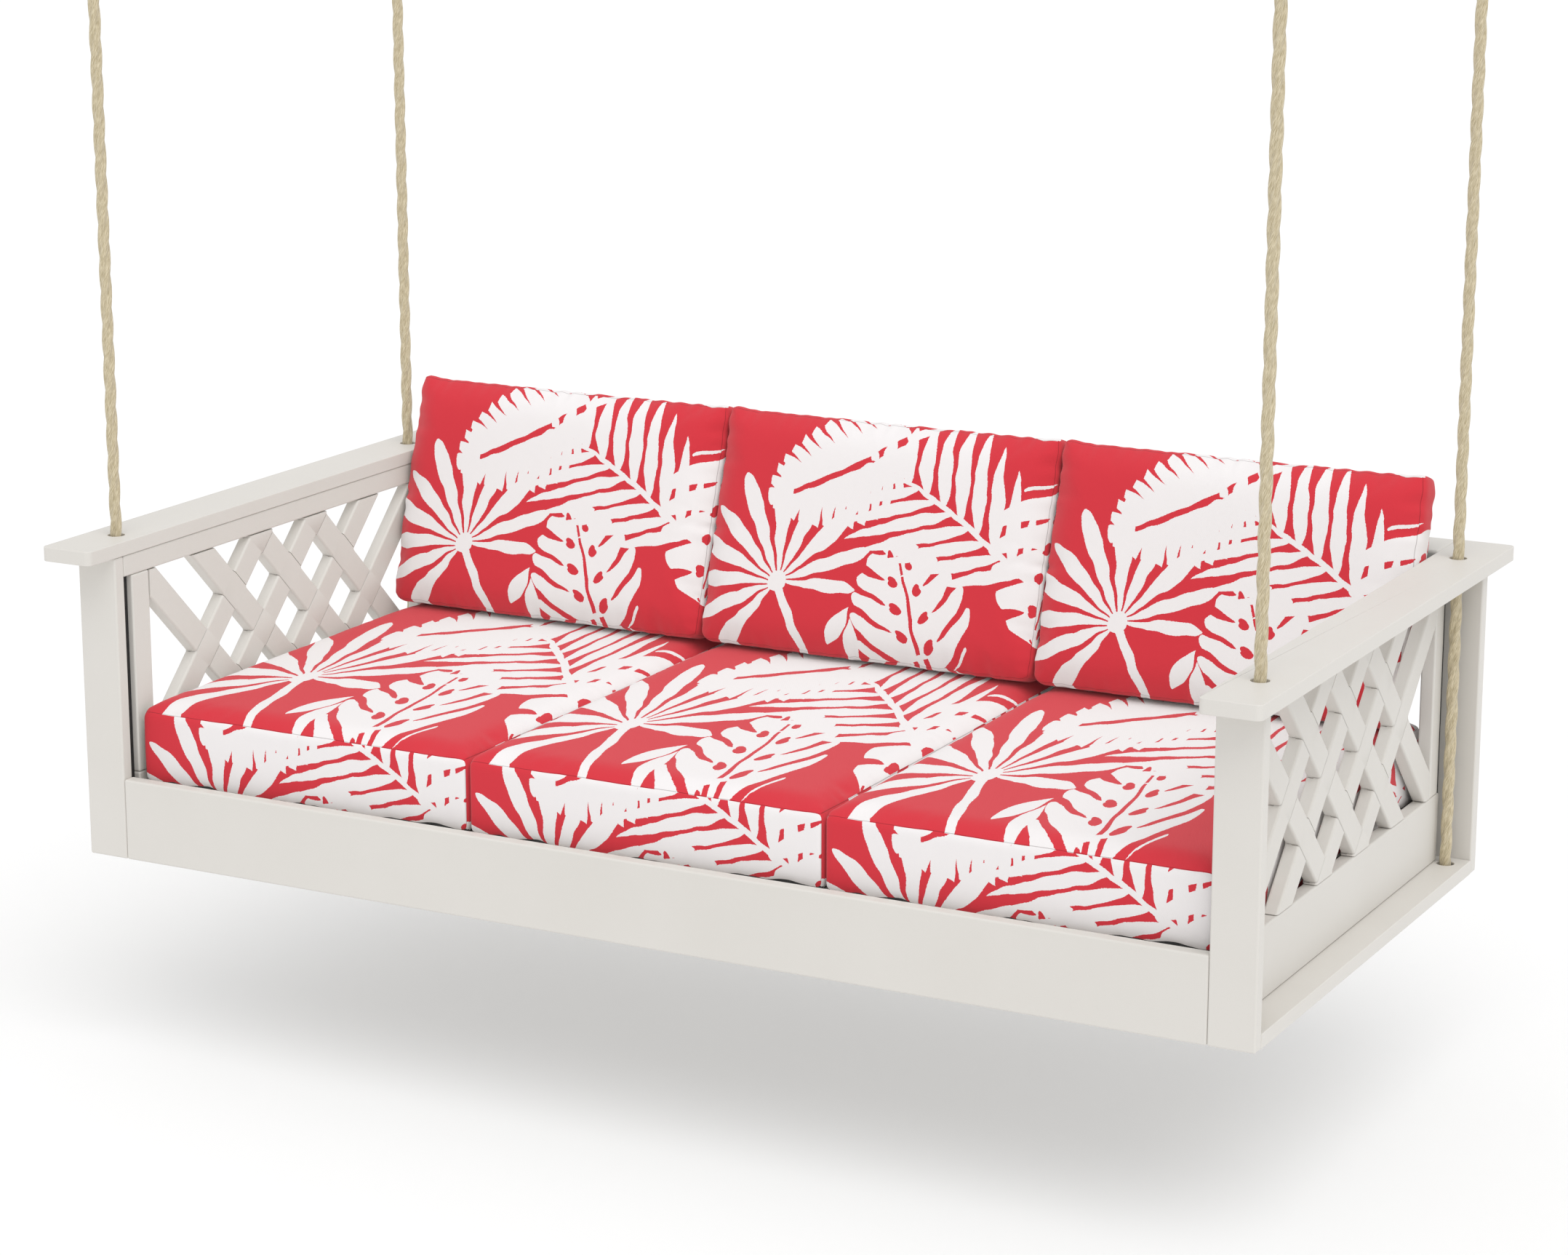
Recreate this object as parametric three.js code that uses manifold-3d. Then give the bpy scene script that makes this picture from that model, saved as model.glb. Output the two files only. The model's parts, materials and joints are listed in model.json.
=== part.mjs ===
// Porch swing bed on four ropes: a boarded frame with woven lattice ends and back,
// a slatted deck, three seat and three back cushions, four laid ropes and their
// ceiling hangers. Millimetres, +Z up, the front of the swing faces -Y.
// The origin is on the ceiling, at the centre of the four hangers.
import * as THREE from "three";
import { mergeVertices } from "three/addons/utils/BufferGeometryUtils.js";
import Module from "manifold-3d";

const wasm = await Module();
wasm.setup();

// Driving dimensions
const LUMBER = 24; // thickness of every frame board
const GAP = 0.3; // joint line between two touching pieces
const HALF_WIDTH = 1050; // outer face of the posts
const POST_WIDTH = 76;
const POST_HEIGHT = 518.5;
const FRAME_DEPTH = 1003; // front face of the front posts to rear face of the rear posts
const RAIL_HEIGHT = 139; // front and back rails
const ARM_WIDTH = 98;
const ARM_FRONT = -69; // overhang in front of the posts
const ARM_REAR = 1078; // overhang behind the posts
const ARM_CORNER = 11; // plan radius of the arm's corners
const PANEL_TOP_RAIL = 36.5; // height of the end and back panels' top rails
const PANEL_BOTTOM_RAIL_TOP = 141;
const PANEL_FRONT = 44; // the end panels stop short of both posts
const PANEL_REAR = 953;
const FRONT_STILE_WIDTH = 47;
const REAR_STILE_FRONT = 905;
const REAR_STILE_WIDTH = 39;
const TIE_THICKNESS = 3; // flat steel strips that tie the end panels to the posts

// Lattice: two sets of 45 degree slats in one plane
const LATTICE_SLAT = 48;
const END_SLATS = 4; // in each direction
const BACK_SLATS = 11;
const LATTICE_RUN_PAST = 47; // how far the corner slats start outside the opening

// Ropes and hangers
const ROPE_DIAMETER = 20;
const ROPE_SIDES = 10;
const ROPE_STEP = 50;
const ROPE_HOLE = 28;
const ROPE_X = 1016.5;
const ROPE_FRONT_Y = 62;
const ROPE_REAR_Y = 945;
const PIVOT_HEIGHT = 1590; // hanger pins above the bottom of the posts
const CEILING = 50; // ceiling above the hanger pins

// Cushions
const CUSHION_PITCH = 643;
const CUSHION_GAP = 2;
const SEAT_FRONT = 34;
const SEAT_REAR = 966;
const DECK_TOP = 124.7;
const SEAT_EDGE = 252; // height of the top seam
const SEAT_CROWN = 268; // height of the middle of the seat cushions
const BACK_FOOT = 270; // underside of the back cushions

const FINISH = {
  lumber: { color: 0xe0ddd5, roughness: 0.55, metalness: 0 },
  rope: { color: 0xcdbf9b, roughness: 0.95, metalness: 0 },
  blackSteel: { color: 0x16171a, roughness: 0.5, metalness: 0.4 },
  zincSteel: { color: 0xa8acb0, roughness: 0.38, metalness: 0.9 },
  print: { color: 0xd03a40, roughness: 0.9, metalness: 0 },
};

const POST_INNER = HALF_WIDTH - POST_WIDTH;
const ARM_TOP = POST_HEIGHT + LUMBER;
const REAR_POST_FRONT = FRAME_DEPTH - LUMBER;
const PANEL_TOP_RAIL_FOOT = POST_HEIGHT - PANEL_TOP_RAIL;
const CEILING_HEIGHT = PIVOT_HEIGHT + CEILING;
const ROPE_MIDDLE_Y = (ROPE_FRONT_Y + ROPE_REAR_Y) / 2;

const swing = new THREE.Group();
swing.position.set(0, -ROPE_MIDDLE_Y, -CEILING_HEIGHT);
const model = new THREE.Group();
model.add(swing);

function addPiece(name, geometry, finish) {
  const mesh = new THREE.Mesh(geometry, new THREE.MeshStandardMaterial(FINISH[finish]));
  mesh.name = name;
  swing.add(mesh);
  return mesh;
}

// A box from its low corner to its high corner.
function boxBetween([x0, y0, z0], [x1, y1, z1]) {
  const box = new THREE.BoxGeometry(x1 - x0, y1 - y0, z1 - z0);
  return box.translate((x0 + x1) / 2, (y0 + y1) / 2, (z0 + z1) / 2);
}

// The same box on the left (side = -1) or right (side = 1) of the swing.
function sideBox(side, [x0, y0, z0], [x1, y1, z1]) {
  const [a, b] = side > 0 ? [x0, x1] : [-x1, -x0];
  return boxBetween([a, y0, z0], [b, y1, z1]);
}

function solidOf(geometry) {
  const bare = geometry.clone();
  bare.deleteAttribute("normal");
  bare.deleteAttribute("uv");
  const merged = mergeVertices(bare, 1e-4);
  return new wasm.Manifold(
    new wasm.Mesh({
      numProp: 3,
      vertProperties: new Float32Array(merged.attributes.position.array),
      triVerts: new Uint32Array(merged.index.array),
    }),
  );
}

function geometryOf(solid) {
  const mesh = solid.getMesh();
  const geometry = new THREE.BufferGeometry();
  geometry.setAttribute("position", new THREE.BufferAttribute(mesh.vertProperties, 3));
  geometry.setIndex(new THREE.BufferAttribute(mesh.triVerts, 1));
  return geometry;
}

function joined(geometries) {
  return geometryOf(geometries.map(solidOf).reduce((whole, piece) => whole.add(piece)));
}

// Flat boards --------------------------------------------------------------

function outlineRect(x0, y0, x1, y1, radius) {
  const shape = new THREE.Shape();
  shape.moveTo(x0 + radius, y0);
  shape.lineTo(x1 - radius, y0);
  shape.absarc(x1 - radius, y0 + radius, radius, -Math.PI / 2, 0, false);
  shape.lineTo(x1, y1 - radius);
  shape.absarc(x1 - radius, y1 - radius, radius, 0, Math.PI / 2, false);
  shape.lineTo(x0 + radius, y1);
  shape.absarc(x0 + radius, y1 - radius, radius, Math.PI / 2, Math.PI, false);
  shape.lineTo(x0, y0 + radius);
  shape.absarc(x0 + radius, y0 + radius, radius, Math.PI, Math.PI * 1.5, false);
  return shape;
}

function drillForRopes(shape, side) {
  for (const y of [ROPE_FRONT_Y, ROPE_REAR_Y]) {
    const hole = new THREE.Path();
    hole.absarc(side * ROPE_X, y, ROPE_HOLE / 2, 0, Math.PI * 2, true);
    shape.holes.push(hole);
  }
  return shape;
}

function drilledBoard(shape, side, low, high, curveSegments) {
  const settings = { depth: high - low, bevelEnabled: false, curveSegments };
  return new THREE.ExtrudeGeometry(drillForRopes(shape, side), settings).translate(0, 0, low);
}

function armBoard(side) {
  const inner = side * (POST_INNER - 1.5);
  const outer = side * (POST_INNER - 1.5 + ARM_WIDTH);
  const [x0, x1] = [Math.min(inner, outer), Math.max(inner, outer)];
  const outline = outlineRect(x0, ARM_FRONT, x1, ARM_REAR, ARM_CORNER);
  return drilledBoard(outline, side, POST_HEIGHT, ARM_TOP, 6);
}

function bottomBoard(side) {
  const [x0, x1] = side > 0 ? [POST_INNER, HALF_WIDTH] : [-HALF_WIDTH, -POST_INNER];
  const shape = new THREE.Shape();
  shape.moveTo(x0, LUMBER + GAP);
  shape.lineTo(x1, LUMBER + GAP);
  shape.lineTo(x1, REAR_POST_FRONT - GAP);
  shape.lineTo(x0, REAR_POST_FRONT - GAP);
  shape.closePath();
  return drilledBoard(shape, side, 0, LUMBER, 6);
}

// Lattice ------------------------------------------------------------------

// Slats at 45 degrees, joined where they cross and trimmed to the opening.
// u runs along the panel and v up it; the result is LUMBER thick along +w.
function latticeSlats(width, height, count) {
  const across = LATTICE_SLAT * Math.SQRT2;
  const reach = width + 2 * LATTICE_RUN_PAST;
  const pitch = (reach - height - across) / (count - 1);
  const slat = (u, lean) => {
    const shape = new THREE.Shape();
    shape.moveTo(u, 0);
    shape.lineTo(u + across, 0);
    shape.lineTo(u + across + lean * height, height);
    shape.lineTo(u + lean * height, height);
    shape.closePath();
    return new THREE.ExtrudeGeometry(shape, { depth: LUMBER, bevelEnabled: false });
  };
  const slats = [];
  for (let k = 0; k < count; k += 1) {
    const foot = k * pitch - LATTICE_RUN_PAST;
    slats.push(slat(foot, 1), slat(foot + height, -1));
  }
  const trim = boxBetween([GAP, GAP, -1], [width - GAP, height - GAP, LUMBER + 1]);
  return geometryOf(solidOf(joined(slats)).intersect(solidOf(trim)));
}

// Posts, rails and arms ----------------------------------------------------

const SIDES = [
  ["left", -1],
  ["right", 1],
];

for (const [name, side] of SIDES) {
  for (const [end, y] of [
    ["front", 0],
    ["rear", REAR_POST_FRONT],
  ]) {
    const low = [POST_INNER, y, 0];
    const high = [HALF_WIDTH, y + LUMBER, POST_HEIGHT - GAP];
    addPiece(`post_${end}_${name}`, sideBox(side, low, high), "lumber");
  }
  addPiece(`arm_${name}`, armBoard(side), "lumber");
  addPiece(`bottom_board_${name}`, bottomBoard(side), "lumber");
}

function longBoard(name, y, low, high, depth = LUMBER) {
  const half = POST_INNER - GAP;
  addPiece(name, boxBetween([-half, y, low], [half, y + depth, high]), "lumber");
}

longBoard("front_rail", 0, 0, RAIL_HEIGHT);
longBoard("back_rail", REAR_POST_FRONT, 0, RAIL_HEIGHT);
longBoard("back_top_rail", REAR_POST_FRONT, PANEL_TOP_RAIL_FOOT, POST_HEIGHT - GAP);

const topBoardHalf = POST_INNER - 1.5 - GAP;
addPiece(
  "back_top_board",
  boxBetween([-topBoardHalf, REAR_POST_FRONT, POST_HEIGHT], [topBoardHalf, ARM_REAR, ARM_TOP]),
  "lumber",
);

// End panels ---------------------------------------------------------------

const latticeHeight = PANEL_TOP_RAIL_FOOT - PANEL_BOTTOM_RAIL_TOP;
const endOpeningFront = PANEL_FRONT + FRONT_STILE_WIDTH;
const diagonal = new THREE.Vector3(1, 1, 1).normalize();

for (const [name, side] of SIDES) {
  const board = (piece, [y0, z0], [y1, z1]) => {
    const low = [POST_INNER, y0, z0];
    const high = [POST_INNER + LUMBER, y1, z1];
    addPiece(`${piece}_${name}`, sideBox(side, low, high), "lumber");
  };
  const topRail = [LUMBER + GAP, PANEL_TOP_RAIL_FOOT];
  board("panel_top_rail", topRail, [REAR_POST_FRONT - GAP, POST_HEIGHT - GAP]);
  const bottomRail = [PANEL_FRONT, LUMBER + GAP];
  board("panel_bottom_rail", bottomRail, [PANEL_REAR, PANEL_BOTTOM_RAIL_TOP]);
  const foot = PANEL_BOTTOM_RAIL_TOP + GAP;
  const head = PANEL_TOP_RAIL_FOOT - GAP;
  board("stile_front", [PANEL_FRONT, foot], [PANEL_FRONT + FRONT_STILE_WIDTH, head]);
  board("stile_rear", [REAR_STILE_FRONT, foot], [REAR_STILE_FRONT + REAR_STILE_WIDTH, head]);

  // A third of a turn about the diagonal lays u along +Y, v along +Z and the
  // thickness along +X.
  const slats = latticeSlats(REAR_STILE_FRONT - endOpeningFront, latticeHeight, END_SLATS);
  const lattice = addPiece(`lattice_${name}`, slats, "lumber");
  lattice.setRotationFromAxisAngle(diagonal, (2 * Math.PI) / 3);
  const inner = side > 0 ? POST_INNER : -POST_INNER - LUMBER;
  lattice.position.set(inner, endOpeningFront, PANEL_BOTTOM_RAIL_TOP);

  const tieMiddle = POST_INNER + LUMBER / 2;
  for (const [end, y0, y1] of [
    ["front", LUMBER + GAP, PANEL_FRONT - GAP],
    ["rear", PANEL_REAR + GAP, REAR_POST_FRONT - GAP],
  ]) {
    const low = [tieMiddle - TIE_THICKNESS / 2, y0, LUMBER + GAP];
    const high = [tieMiddle + TIE_THICKNESS / 2, y1, PANEL_TOP_RAIL_FOOT - GAP];
    addPiece(`tie_strip_${end}_${name}`, sideBox(side, low, high), "blackSteel");
  }
}

// Back lattice: u along +X, v along +Z and the thickness along -Y
const backLattice = addPiece(
  "lattice_back",
  latticeSlats(2 * POST_INNER, PANEL_TOP_RAIL_FOOT - RAIL_HEIGHT, BACK_SLATS),
  "lumber",
);
backLattice.rotation.x = Math.PI / 2;
backLattice.position.set(-POST_INNER, FRAME_DEPTH, RAIL_HEIGHT);

// Deck ---------------------------------------------------------------------

const DECK_BOARDS = 4;
const DECK_BOARD_WIDTH = 180;
const DECK_BOARD_THICKNESS = 19;
const JOIST_SPACING = 650;
const JOIST_FOOT = 28;

const deckFront = LUMBER + GAP;
const deckRear = REAR_POST_FRONT - GAP;
const deckFoot = DECK_TOP - DECK_BOARD_THICKNESS;
const deckPitch = (deckRear - deckFront - DECK_BOARD_WIDTH) / (DECK_BOARDS - 1);
for (let k = 0; k < DECK_BOARDS; k += 1) {
  const y = deckFront + k * deckPitch;
  const half = POST_INNER - GAP;
  const low = [-half, y, deckFoot];
  const high = [half, y + DECK_BOARD_WIDTH, DECK_TOP];
  addPiece(`deck_board_${k + 1}`, boxBetween(low, high), "lumber");
}
for (const [name, k] of [
  ["left", -1],
  ["middle", 0],
  ["right", 1],
]) {
  const middle = k * JOIST_SPACING;
  const low = [middle - LUMBER / 2, deckFront, JOIST_FOOT];
  const high = [middle + LUMBER / 2, deckRear, deckFoot - GAP];
  addPiece(`joist_${name}`, boxBetween(low, high), "lumber");
}

// Cushions -----------------------------------------------------------------

// An outline of [y, z] points, extruded along X and eased at both ends.
function cushion(points, width) {
  const ease = 12;
  const shape = new THREE.Shape(points.map(([y, z]) => new THREE.Vector2(y, z)));
  const solid = new THREE.ExtrudeGeometry(shape, {
    depth: width - 2 * ease,
    bevelEnabled: true,
    bevelThickness: ease,
    bevelSize: ease,
    bevelOffset: -ease,
    bevelSegments: 1,
  });
  solid.translate(0, 0, -(width - 2 * ease) / 2);
  // The outline's first axis turns to +Y and its second to +Z
  solid.applyMatrix4(new THREE.Matrix4().makeBasis(
    new THREE.Vector3(0, 1, 0),
    new THREE.Vector3(0, 0, 1),
    new THREE.Vector3(1, 0, 0),
  ));
  return solid;
}

const seatOutline = [
  [SEAT_FRONT, DECK_TOP + GAP],
  [SEAT_REAR, DECK_TOP + GAP],
  [SEAT_REAR, SEAT_EDGE],
  [SEAT_REAR - 110, SEAT_CROWN],
  [SEAT_FRONT + 110, SEAT_CROWN],
  [SEAT_FRONT, SEAT_EDGE],
];

// The back cushions lean on the back top board.
const backOutline = [
  [796, BACK_FOOT],
  [886, BACK_FOOT],
  [940, 380],
  [974, 520],
  [984, 648],
  [972, 664],
  [920, 672],
  [880, 610],
  [822, 440],
];

for (const [name, k] of [
  ["left", -1],
  ["middle", 0],
  ["right", 1],
]) {
  const width = CUSHION_PITCH - CUSHION_GAP;
  for (const [kind, outline] of [
    ["seat_cushion", seatOutline],
    ["back_cushion", backOutline],
  ]) {
    const piece = addPiece(`${kind}_${name}`, cushion(outline, width), "print");
    piece.position.x = k * CUSHION_PITCH;
  }
}

// Ropes --------------------------------------------------------------------

// The rope bends on a ball just above the arm, where the hole stops it swinging.
const BEND_HEIGHT = ARM_TOP + ROPE_DIAMETER / 2 + GAP;
const SOCKET_LENGTH = 65; // hanger pin to the mouth of the socket

function ropeTube(low, high) {
  const section = new THREE.Shape();
  const radius = ROPE_DIAMETER / 2;
  for (let k = 0; k < ROPE_SIDES; k += 1) {
    const angle = (k / ROPE_SIDES) * Math.PI * 2;
    const place = [radius * Math.cos(angle), radius * Math.sin(angle)];
    if (k === 0) section.moveTo(...place);
    else section.lineTo(...place);
  }
  section.closePath();
  const route = new THREE.LineCurve3(
    new THREE.Vector3(0, 0, low),
    new THREE.Vector3(0, 0, high),
  );
  const steps = Math.round((high - low) / ROPE_STEP);
  return new THREE.ExtrudeGeometry(section, { steps, extrudePath: route });
}

function hangingRope() {
  const ball = new THREE.SphereGeometry(ROPE_DIAMETER / 2, ROPE_SIDES, 6);
  ball.translate(0, 0, BEND_HEIGHT);
  return joined([ropeTube(BEND_HEIGHT, PIVOT_HEIGHT - SOCKET_LENGTH - GAP), ball]);
}

// A round piece from [radius, height] pairs, turned about Z.
function turned(profile, segments = 16) {
  const points = profile.map(([radius, height]) => new THREE.Vector2(radius, height));
  return new THREE.LatheGeometry(points, segments).rotateX(Math.PI / 2);
}

// Washer and crimped end under the bottom board
function ropeStop() {
  return turned([
    [0, -14],
    [13, -14],
    [15, -12],
    [15, -3.3],
    [24, -3.3],
    [24, -GAP],
    [0, -GAP],
  ]);
}

// Hangers: a plate and two ears on the ceiling with a pin between the ears, and
// a crimped socket on the rope whose eye turns on the pin
const PIN_DIAMETER = 10;
const PIN_LENGTH = 40;
const EYE_BORE = 13;
const EYE_OUTER = 34;
const EYE_WIDTH = 12;
const EAR_GAP = 18;
const EAR_THICKNESS = 6;
const EAR_WIDTH = 30;
const EAR_DROP = 12; // below the pin
const PLATE_THICKNESS = 8;
const PLATE_SIZE = 90;

function ropeSocket() {
  const body = turned([
    [0, -SOCKET_LENGTH],
    [15, -SOCKET_LENGTH],
    [15, -30],
    [8, -22],
    [6, -12],
    [0, -12],
  ]);
  const ring = new THREE.Shape();
  ring.absarc(0, 0, EYE_OUTER / 2, 0, Math.PI * 2, false);
  const bore = new THREE.Path();
  bore.absarc(0, 0, EYE_BORE / 2, 0, Math.PI * 2, true);
  ring.holes.push(bore);
  const settings = { depth: EYE_WIDTH, bevelEnabled: false, curveSegments: 10 };
  const eye = new THREE.ExtrudeGeometry(ring, settings);
  eye.translate(0, 0, -EYE_WIDTH / 2).rotateY(Math.PI / 2);
  return joined([body, eye]).translate(0, 0, PIVOT_HEIGHT);
}

function ceilingHanger() {
  const half = PLATE_SIZE / 2;
  const top = CEILING;
  const plate = boxBetween([-half, -half, top - PLATE_THICKNESS], [half, half, top]);
  const low = [EAR_GAP / 2, -EAR_WIDTH / 2, -EAR_DROP];
  const high = [EAR_GAP / 2 + EAR_THICKNESS, EAR_WIDTH / 2, top - PLATE_THICKNESS / 2];
  const ears = [-1, 1].map((side) => sideBox(side, low, high));
  const pin = new THREE.CylinderGeometry(PIN_DIAMETER / 2, PIN_DIAMETER / 2, PIN_LENGTH, 14);
  pin.rotateZ(Math.PI / 2);
  return joined([plate, ...ears, pin]).translate(0, 0, PIVOT_HEIGHT);
}

for (const [name, side] of SIDES) {
  for (const [end, y] of [
    ["front", ROPE_FRONT_Y],
    ["rear", ROPE_REAR_Y],
  ]) {
    const place = [side * ROPE_X, y, 0];
    const corner = `${end}_${name}`;
    addPiece(`rope_${corner}`, hangingRope(), "rope").position.set(...place);
    addPiece(`rope_tail_${corner}`, ropeTube(0, ARM_TOP), "rope").position.set(...place);
    addPiece(`rope_stop_${corner}`, ropeStop(), "zincSteel").position.set(...place);
    addPiece(`rope_socket_${corner}`, ropeSocket(), "zincSteel").position.set(...place);
    addPiece(`ceiling_hanger_${corner}`, ceilingHanger(), "zincSteel").position.set(...place);
  }
}

export default model;
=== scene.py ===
"""Porch swing bed: boarded frame with woven lattice, six printed cushions, four laid ropes.

Metres. The origin is on the ceiling, midway between the four hangers; the front faces -Y.
"""

import json
import math

import bpy
import numpy as np
from mathutils import Matrix, Vector, noise
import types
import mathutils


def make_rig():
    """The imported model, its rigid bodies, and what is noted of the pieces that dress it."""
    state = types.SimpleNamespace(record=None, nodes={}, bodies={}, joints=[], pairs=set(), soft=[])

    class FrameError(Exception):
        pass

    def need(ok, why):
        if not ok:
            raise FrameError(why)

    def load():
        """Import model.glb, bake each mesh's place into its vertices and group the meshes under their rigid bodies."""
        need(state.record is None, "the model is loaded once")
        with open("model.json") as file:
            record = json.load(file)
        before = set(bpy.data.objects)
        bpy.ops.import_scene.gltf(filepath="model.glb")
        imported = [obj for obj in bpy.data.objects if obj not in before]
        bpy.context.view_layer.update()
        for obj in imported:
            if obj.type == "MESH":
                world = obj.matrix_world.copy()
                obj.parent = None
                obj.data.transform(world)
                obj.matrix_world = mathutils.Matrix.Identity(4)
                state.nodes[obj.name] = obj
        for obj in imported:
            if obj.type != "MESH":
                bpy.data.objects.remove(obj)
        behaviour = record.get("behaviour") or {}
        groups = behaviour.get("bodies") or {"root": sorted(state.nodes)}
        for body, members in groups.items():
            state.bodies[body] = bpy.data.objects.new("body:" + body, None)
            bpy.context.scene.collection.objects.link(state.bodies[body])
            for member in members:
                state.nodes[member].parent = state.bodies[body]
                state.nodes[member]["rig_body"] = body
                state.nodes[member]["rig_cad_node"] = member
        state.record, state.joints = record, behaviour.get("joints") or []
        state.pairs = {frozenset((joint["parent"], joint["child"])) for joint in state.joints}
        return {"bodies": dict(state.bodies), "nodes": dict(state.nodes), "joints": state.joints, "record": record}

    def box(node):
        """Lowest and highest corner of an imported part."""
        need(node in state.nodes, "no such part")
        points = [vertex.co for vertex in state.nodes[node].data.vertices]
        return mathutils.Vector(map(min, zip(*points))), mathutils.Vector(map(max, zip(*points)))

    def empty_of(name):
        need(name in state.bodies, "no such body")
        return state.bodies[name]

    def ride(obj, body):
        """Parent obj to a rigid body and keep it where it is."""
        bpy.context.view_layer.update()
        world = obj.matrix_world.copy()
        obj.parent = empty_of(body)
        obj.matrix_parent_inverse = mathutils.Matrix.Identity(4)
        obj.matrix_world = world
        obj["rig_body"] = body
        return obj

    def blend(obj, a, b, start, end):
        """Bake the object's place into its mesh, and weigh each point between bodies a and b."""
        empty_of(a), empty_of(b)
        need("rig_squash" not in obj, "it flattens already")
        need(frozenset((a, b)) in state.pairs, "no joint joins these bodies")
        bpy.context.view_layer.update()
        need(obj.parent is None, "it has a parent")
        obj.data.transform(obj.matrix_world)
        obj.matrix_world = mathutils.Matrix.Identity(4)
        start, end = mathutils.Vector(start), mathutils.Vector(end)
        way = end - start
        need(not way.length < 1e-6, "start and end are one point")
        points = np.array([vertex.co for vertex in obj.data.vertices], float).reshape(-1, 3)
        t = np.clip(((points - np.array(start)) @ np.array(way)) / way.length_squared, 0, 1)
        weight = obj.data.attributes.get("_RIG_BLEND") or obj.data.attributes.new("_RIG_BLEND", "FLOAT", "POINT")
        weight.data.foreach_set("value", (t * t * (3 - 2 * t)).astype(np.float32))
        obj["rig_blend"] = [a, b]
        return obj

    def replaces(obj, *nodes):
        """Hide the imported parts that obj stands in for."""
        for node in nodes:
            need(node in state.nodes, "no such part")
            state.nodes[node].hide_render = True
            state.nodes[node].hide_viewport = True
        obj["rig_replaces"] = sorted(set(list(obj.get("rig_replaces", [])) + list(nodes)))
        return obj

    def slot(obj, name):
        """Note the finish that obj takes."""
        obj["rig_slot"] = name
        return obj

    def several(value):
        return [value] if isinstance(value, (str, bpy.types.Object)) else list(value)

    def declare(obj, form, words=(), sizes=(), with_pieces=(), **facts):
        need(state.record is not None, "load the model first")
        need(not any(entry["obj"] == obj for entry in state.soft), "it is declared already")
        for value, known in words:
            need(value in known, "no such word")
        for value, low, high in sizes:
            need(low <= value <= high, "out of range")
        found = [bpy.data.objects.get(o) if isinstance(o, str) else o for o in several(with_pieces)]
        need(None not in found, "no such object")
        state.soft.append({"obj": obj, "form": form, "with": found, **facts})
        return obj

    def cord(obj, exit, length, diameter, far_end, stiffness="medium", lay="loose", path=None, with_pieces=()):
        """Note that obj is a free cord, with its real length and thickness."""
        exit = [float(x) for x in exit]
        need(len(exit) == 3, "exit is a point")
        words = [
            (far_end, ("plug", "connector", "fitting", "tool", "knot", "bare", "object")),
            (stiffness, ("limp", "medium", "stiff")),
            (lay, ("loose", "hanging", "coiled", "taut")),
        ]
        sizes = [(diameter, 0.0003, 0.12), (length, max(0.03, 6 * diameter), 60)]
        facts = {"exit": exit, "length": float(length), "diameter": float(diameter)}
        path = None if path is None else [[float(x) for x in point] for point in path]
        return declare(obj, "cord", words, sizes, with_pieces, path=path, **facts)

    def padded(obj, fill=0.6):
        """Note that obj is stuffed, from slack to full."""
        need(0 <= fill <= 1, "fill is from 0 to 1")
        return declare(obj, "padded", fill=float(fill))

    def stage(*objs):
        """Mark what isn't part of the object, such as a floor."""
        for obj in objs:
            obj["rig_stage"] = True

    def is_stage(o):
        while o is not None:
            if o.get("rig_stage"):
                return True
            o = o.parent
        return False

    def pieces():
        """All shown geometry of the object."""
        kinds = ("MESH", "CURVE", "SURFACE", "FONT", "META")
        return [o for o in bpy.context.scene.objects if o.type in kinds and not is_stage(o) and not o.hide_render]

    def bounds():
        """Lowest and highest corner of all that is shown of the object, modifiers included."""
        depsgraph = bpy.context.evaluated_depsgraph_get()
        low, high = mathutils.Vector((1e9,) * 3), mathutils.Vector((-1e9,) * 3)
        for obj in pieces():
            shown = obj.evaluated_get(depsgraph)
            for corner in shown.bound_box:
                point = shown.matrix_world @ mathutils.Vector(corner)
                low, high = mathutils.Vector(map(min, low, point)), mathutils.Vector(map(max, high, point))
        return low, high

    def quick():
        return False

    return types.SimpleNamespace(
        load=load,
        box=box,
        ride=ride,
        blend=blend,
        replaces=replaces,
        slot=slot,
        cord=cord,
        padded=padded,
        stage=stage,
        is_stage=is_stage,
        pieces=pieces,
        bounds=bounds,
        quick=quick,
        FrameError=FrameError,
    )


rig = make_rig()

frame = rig.load()
cad_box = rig.bounds()

SIDES = ("left", "right")
ENDS = ("front", "rear")
THIRDS = ("left", "middle", "right")
UP = Vector((0, 0, 1))
SHARP_ANGLE = math.radians(35)


# Camera -----------------------------------------------------------------------


def make_camera():
    data = bpy.data.cameras.new("camera")
    data.sensor_width = 36
    data.lens = 90.176
    camera = bpy.data.objects.new("camera", data)
    camera.location = (2.963513, -5.568564, 0.336800)
    camera.rotation_euler = (math.radians(90 - 13.99572), 0, math.radians(27.93995))
    bpy.context.scene.collection.objects.link(camera)
    bpy.context.scene.camera = camera


# Small modelling steps ---------------------------------------------------------


def pick_only(*objects):
    bpy.ops.object.select_all(action="DESELECT")
    for o in objects:
        o.select_set(True)
    bpy.context.view_layer.objects.active = objects[-1]


def settle(obj):
    """Moves an object's place, turn and scale into its mesh."""
    pick_only(obj)
    bpy.ops.object.transform_apply(location=True, rotation=True, scale=True)
    return obj


def modify(obj, kind, **settings):
    modifier = obj.modifiers.new(kind.lower(), kind)
    for name, value in settings.items():
        setattr(modifier, name, value)
    pick_only(obj)
    bpy.ops.object.modifier_apply(modifier=modifier.name)
    return obj


def join(name, objects):
    pick_only(*objects)
    if len(objects) > 1:
        bpy.ops.object.join()
    whole = bpy.context.object
    whole.name = whole.data.name = name
    return whole


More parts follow.
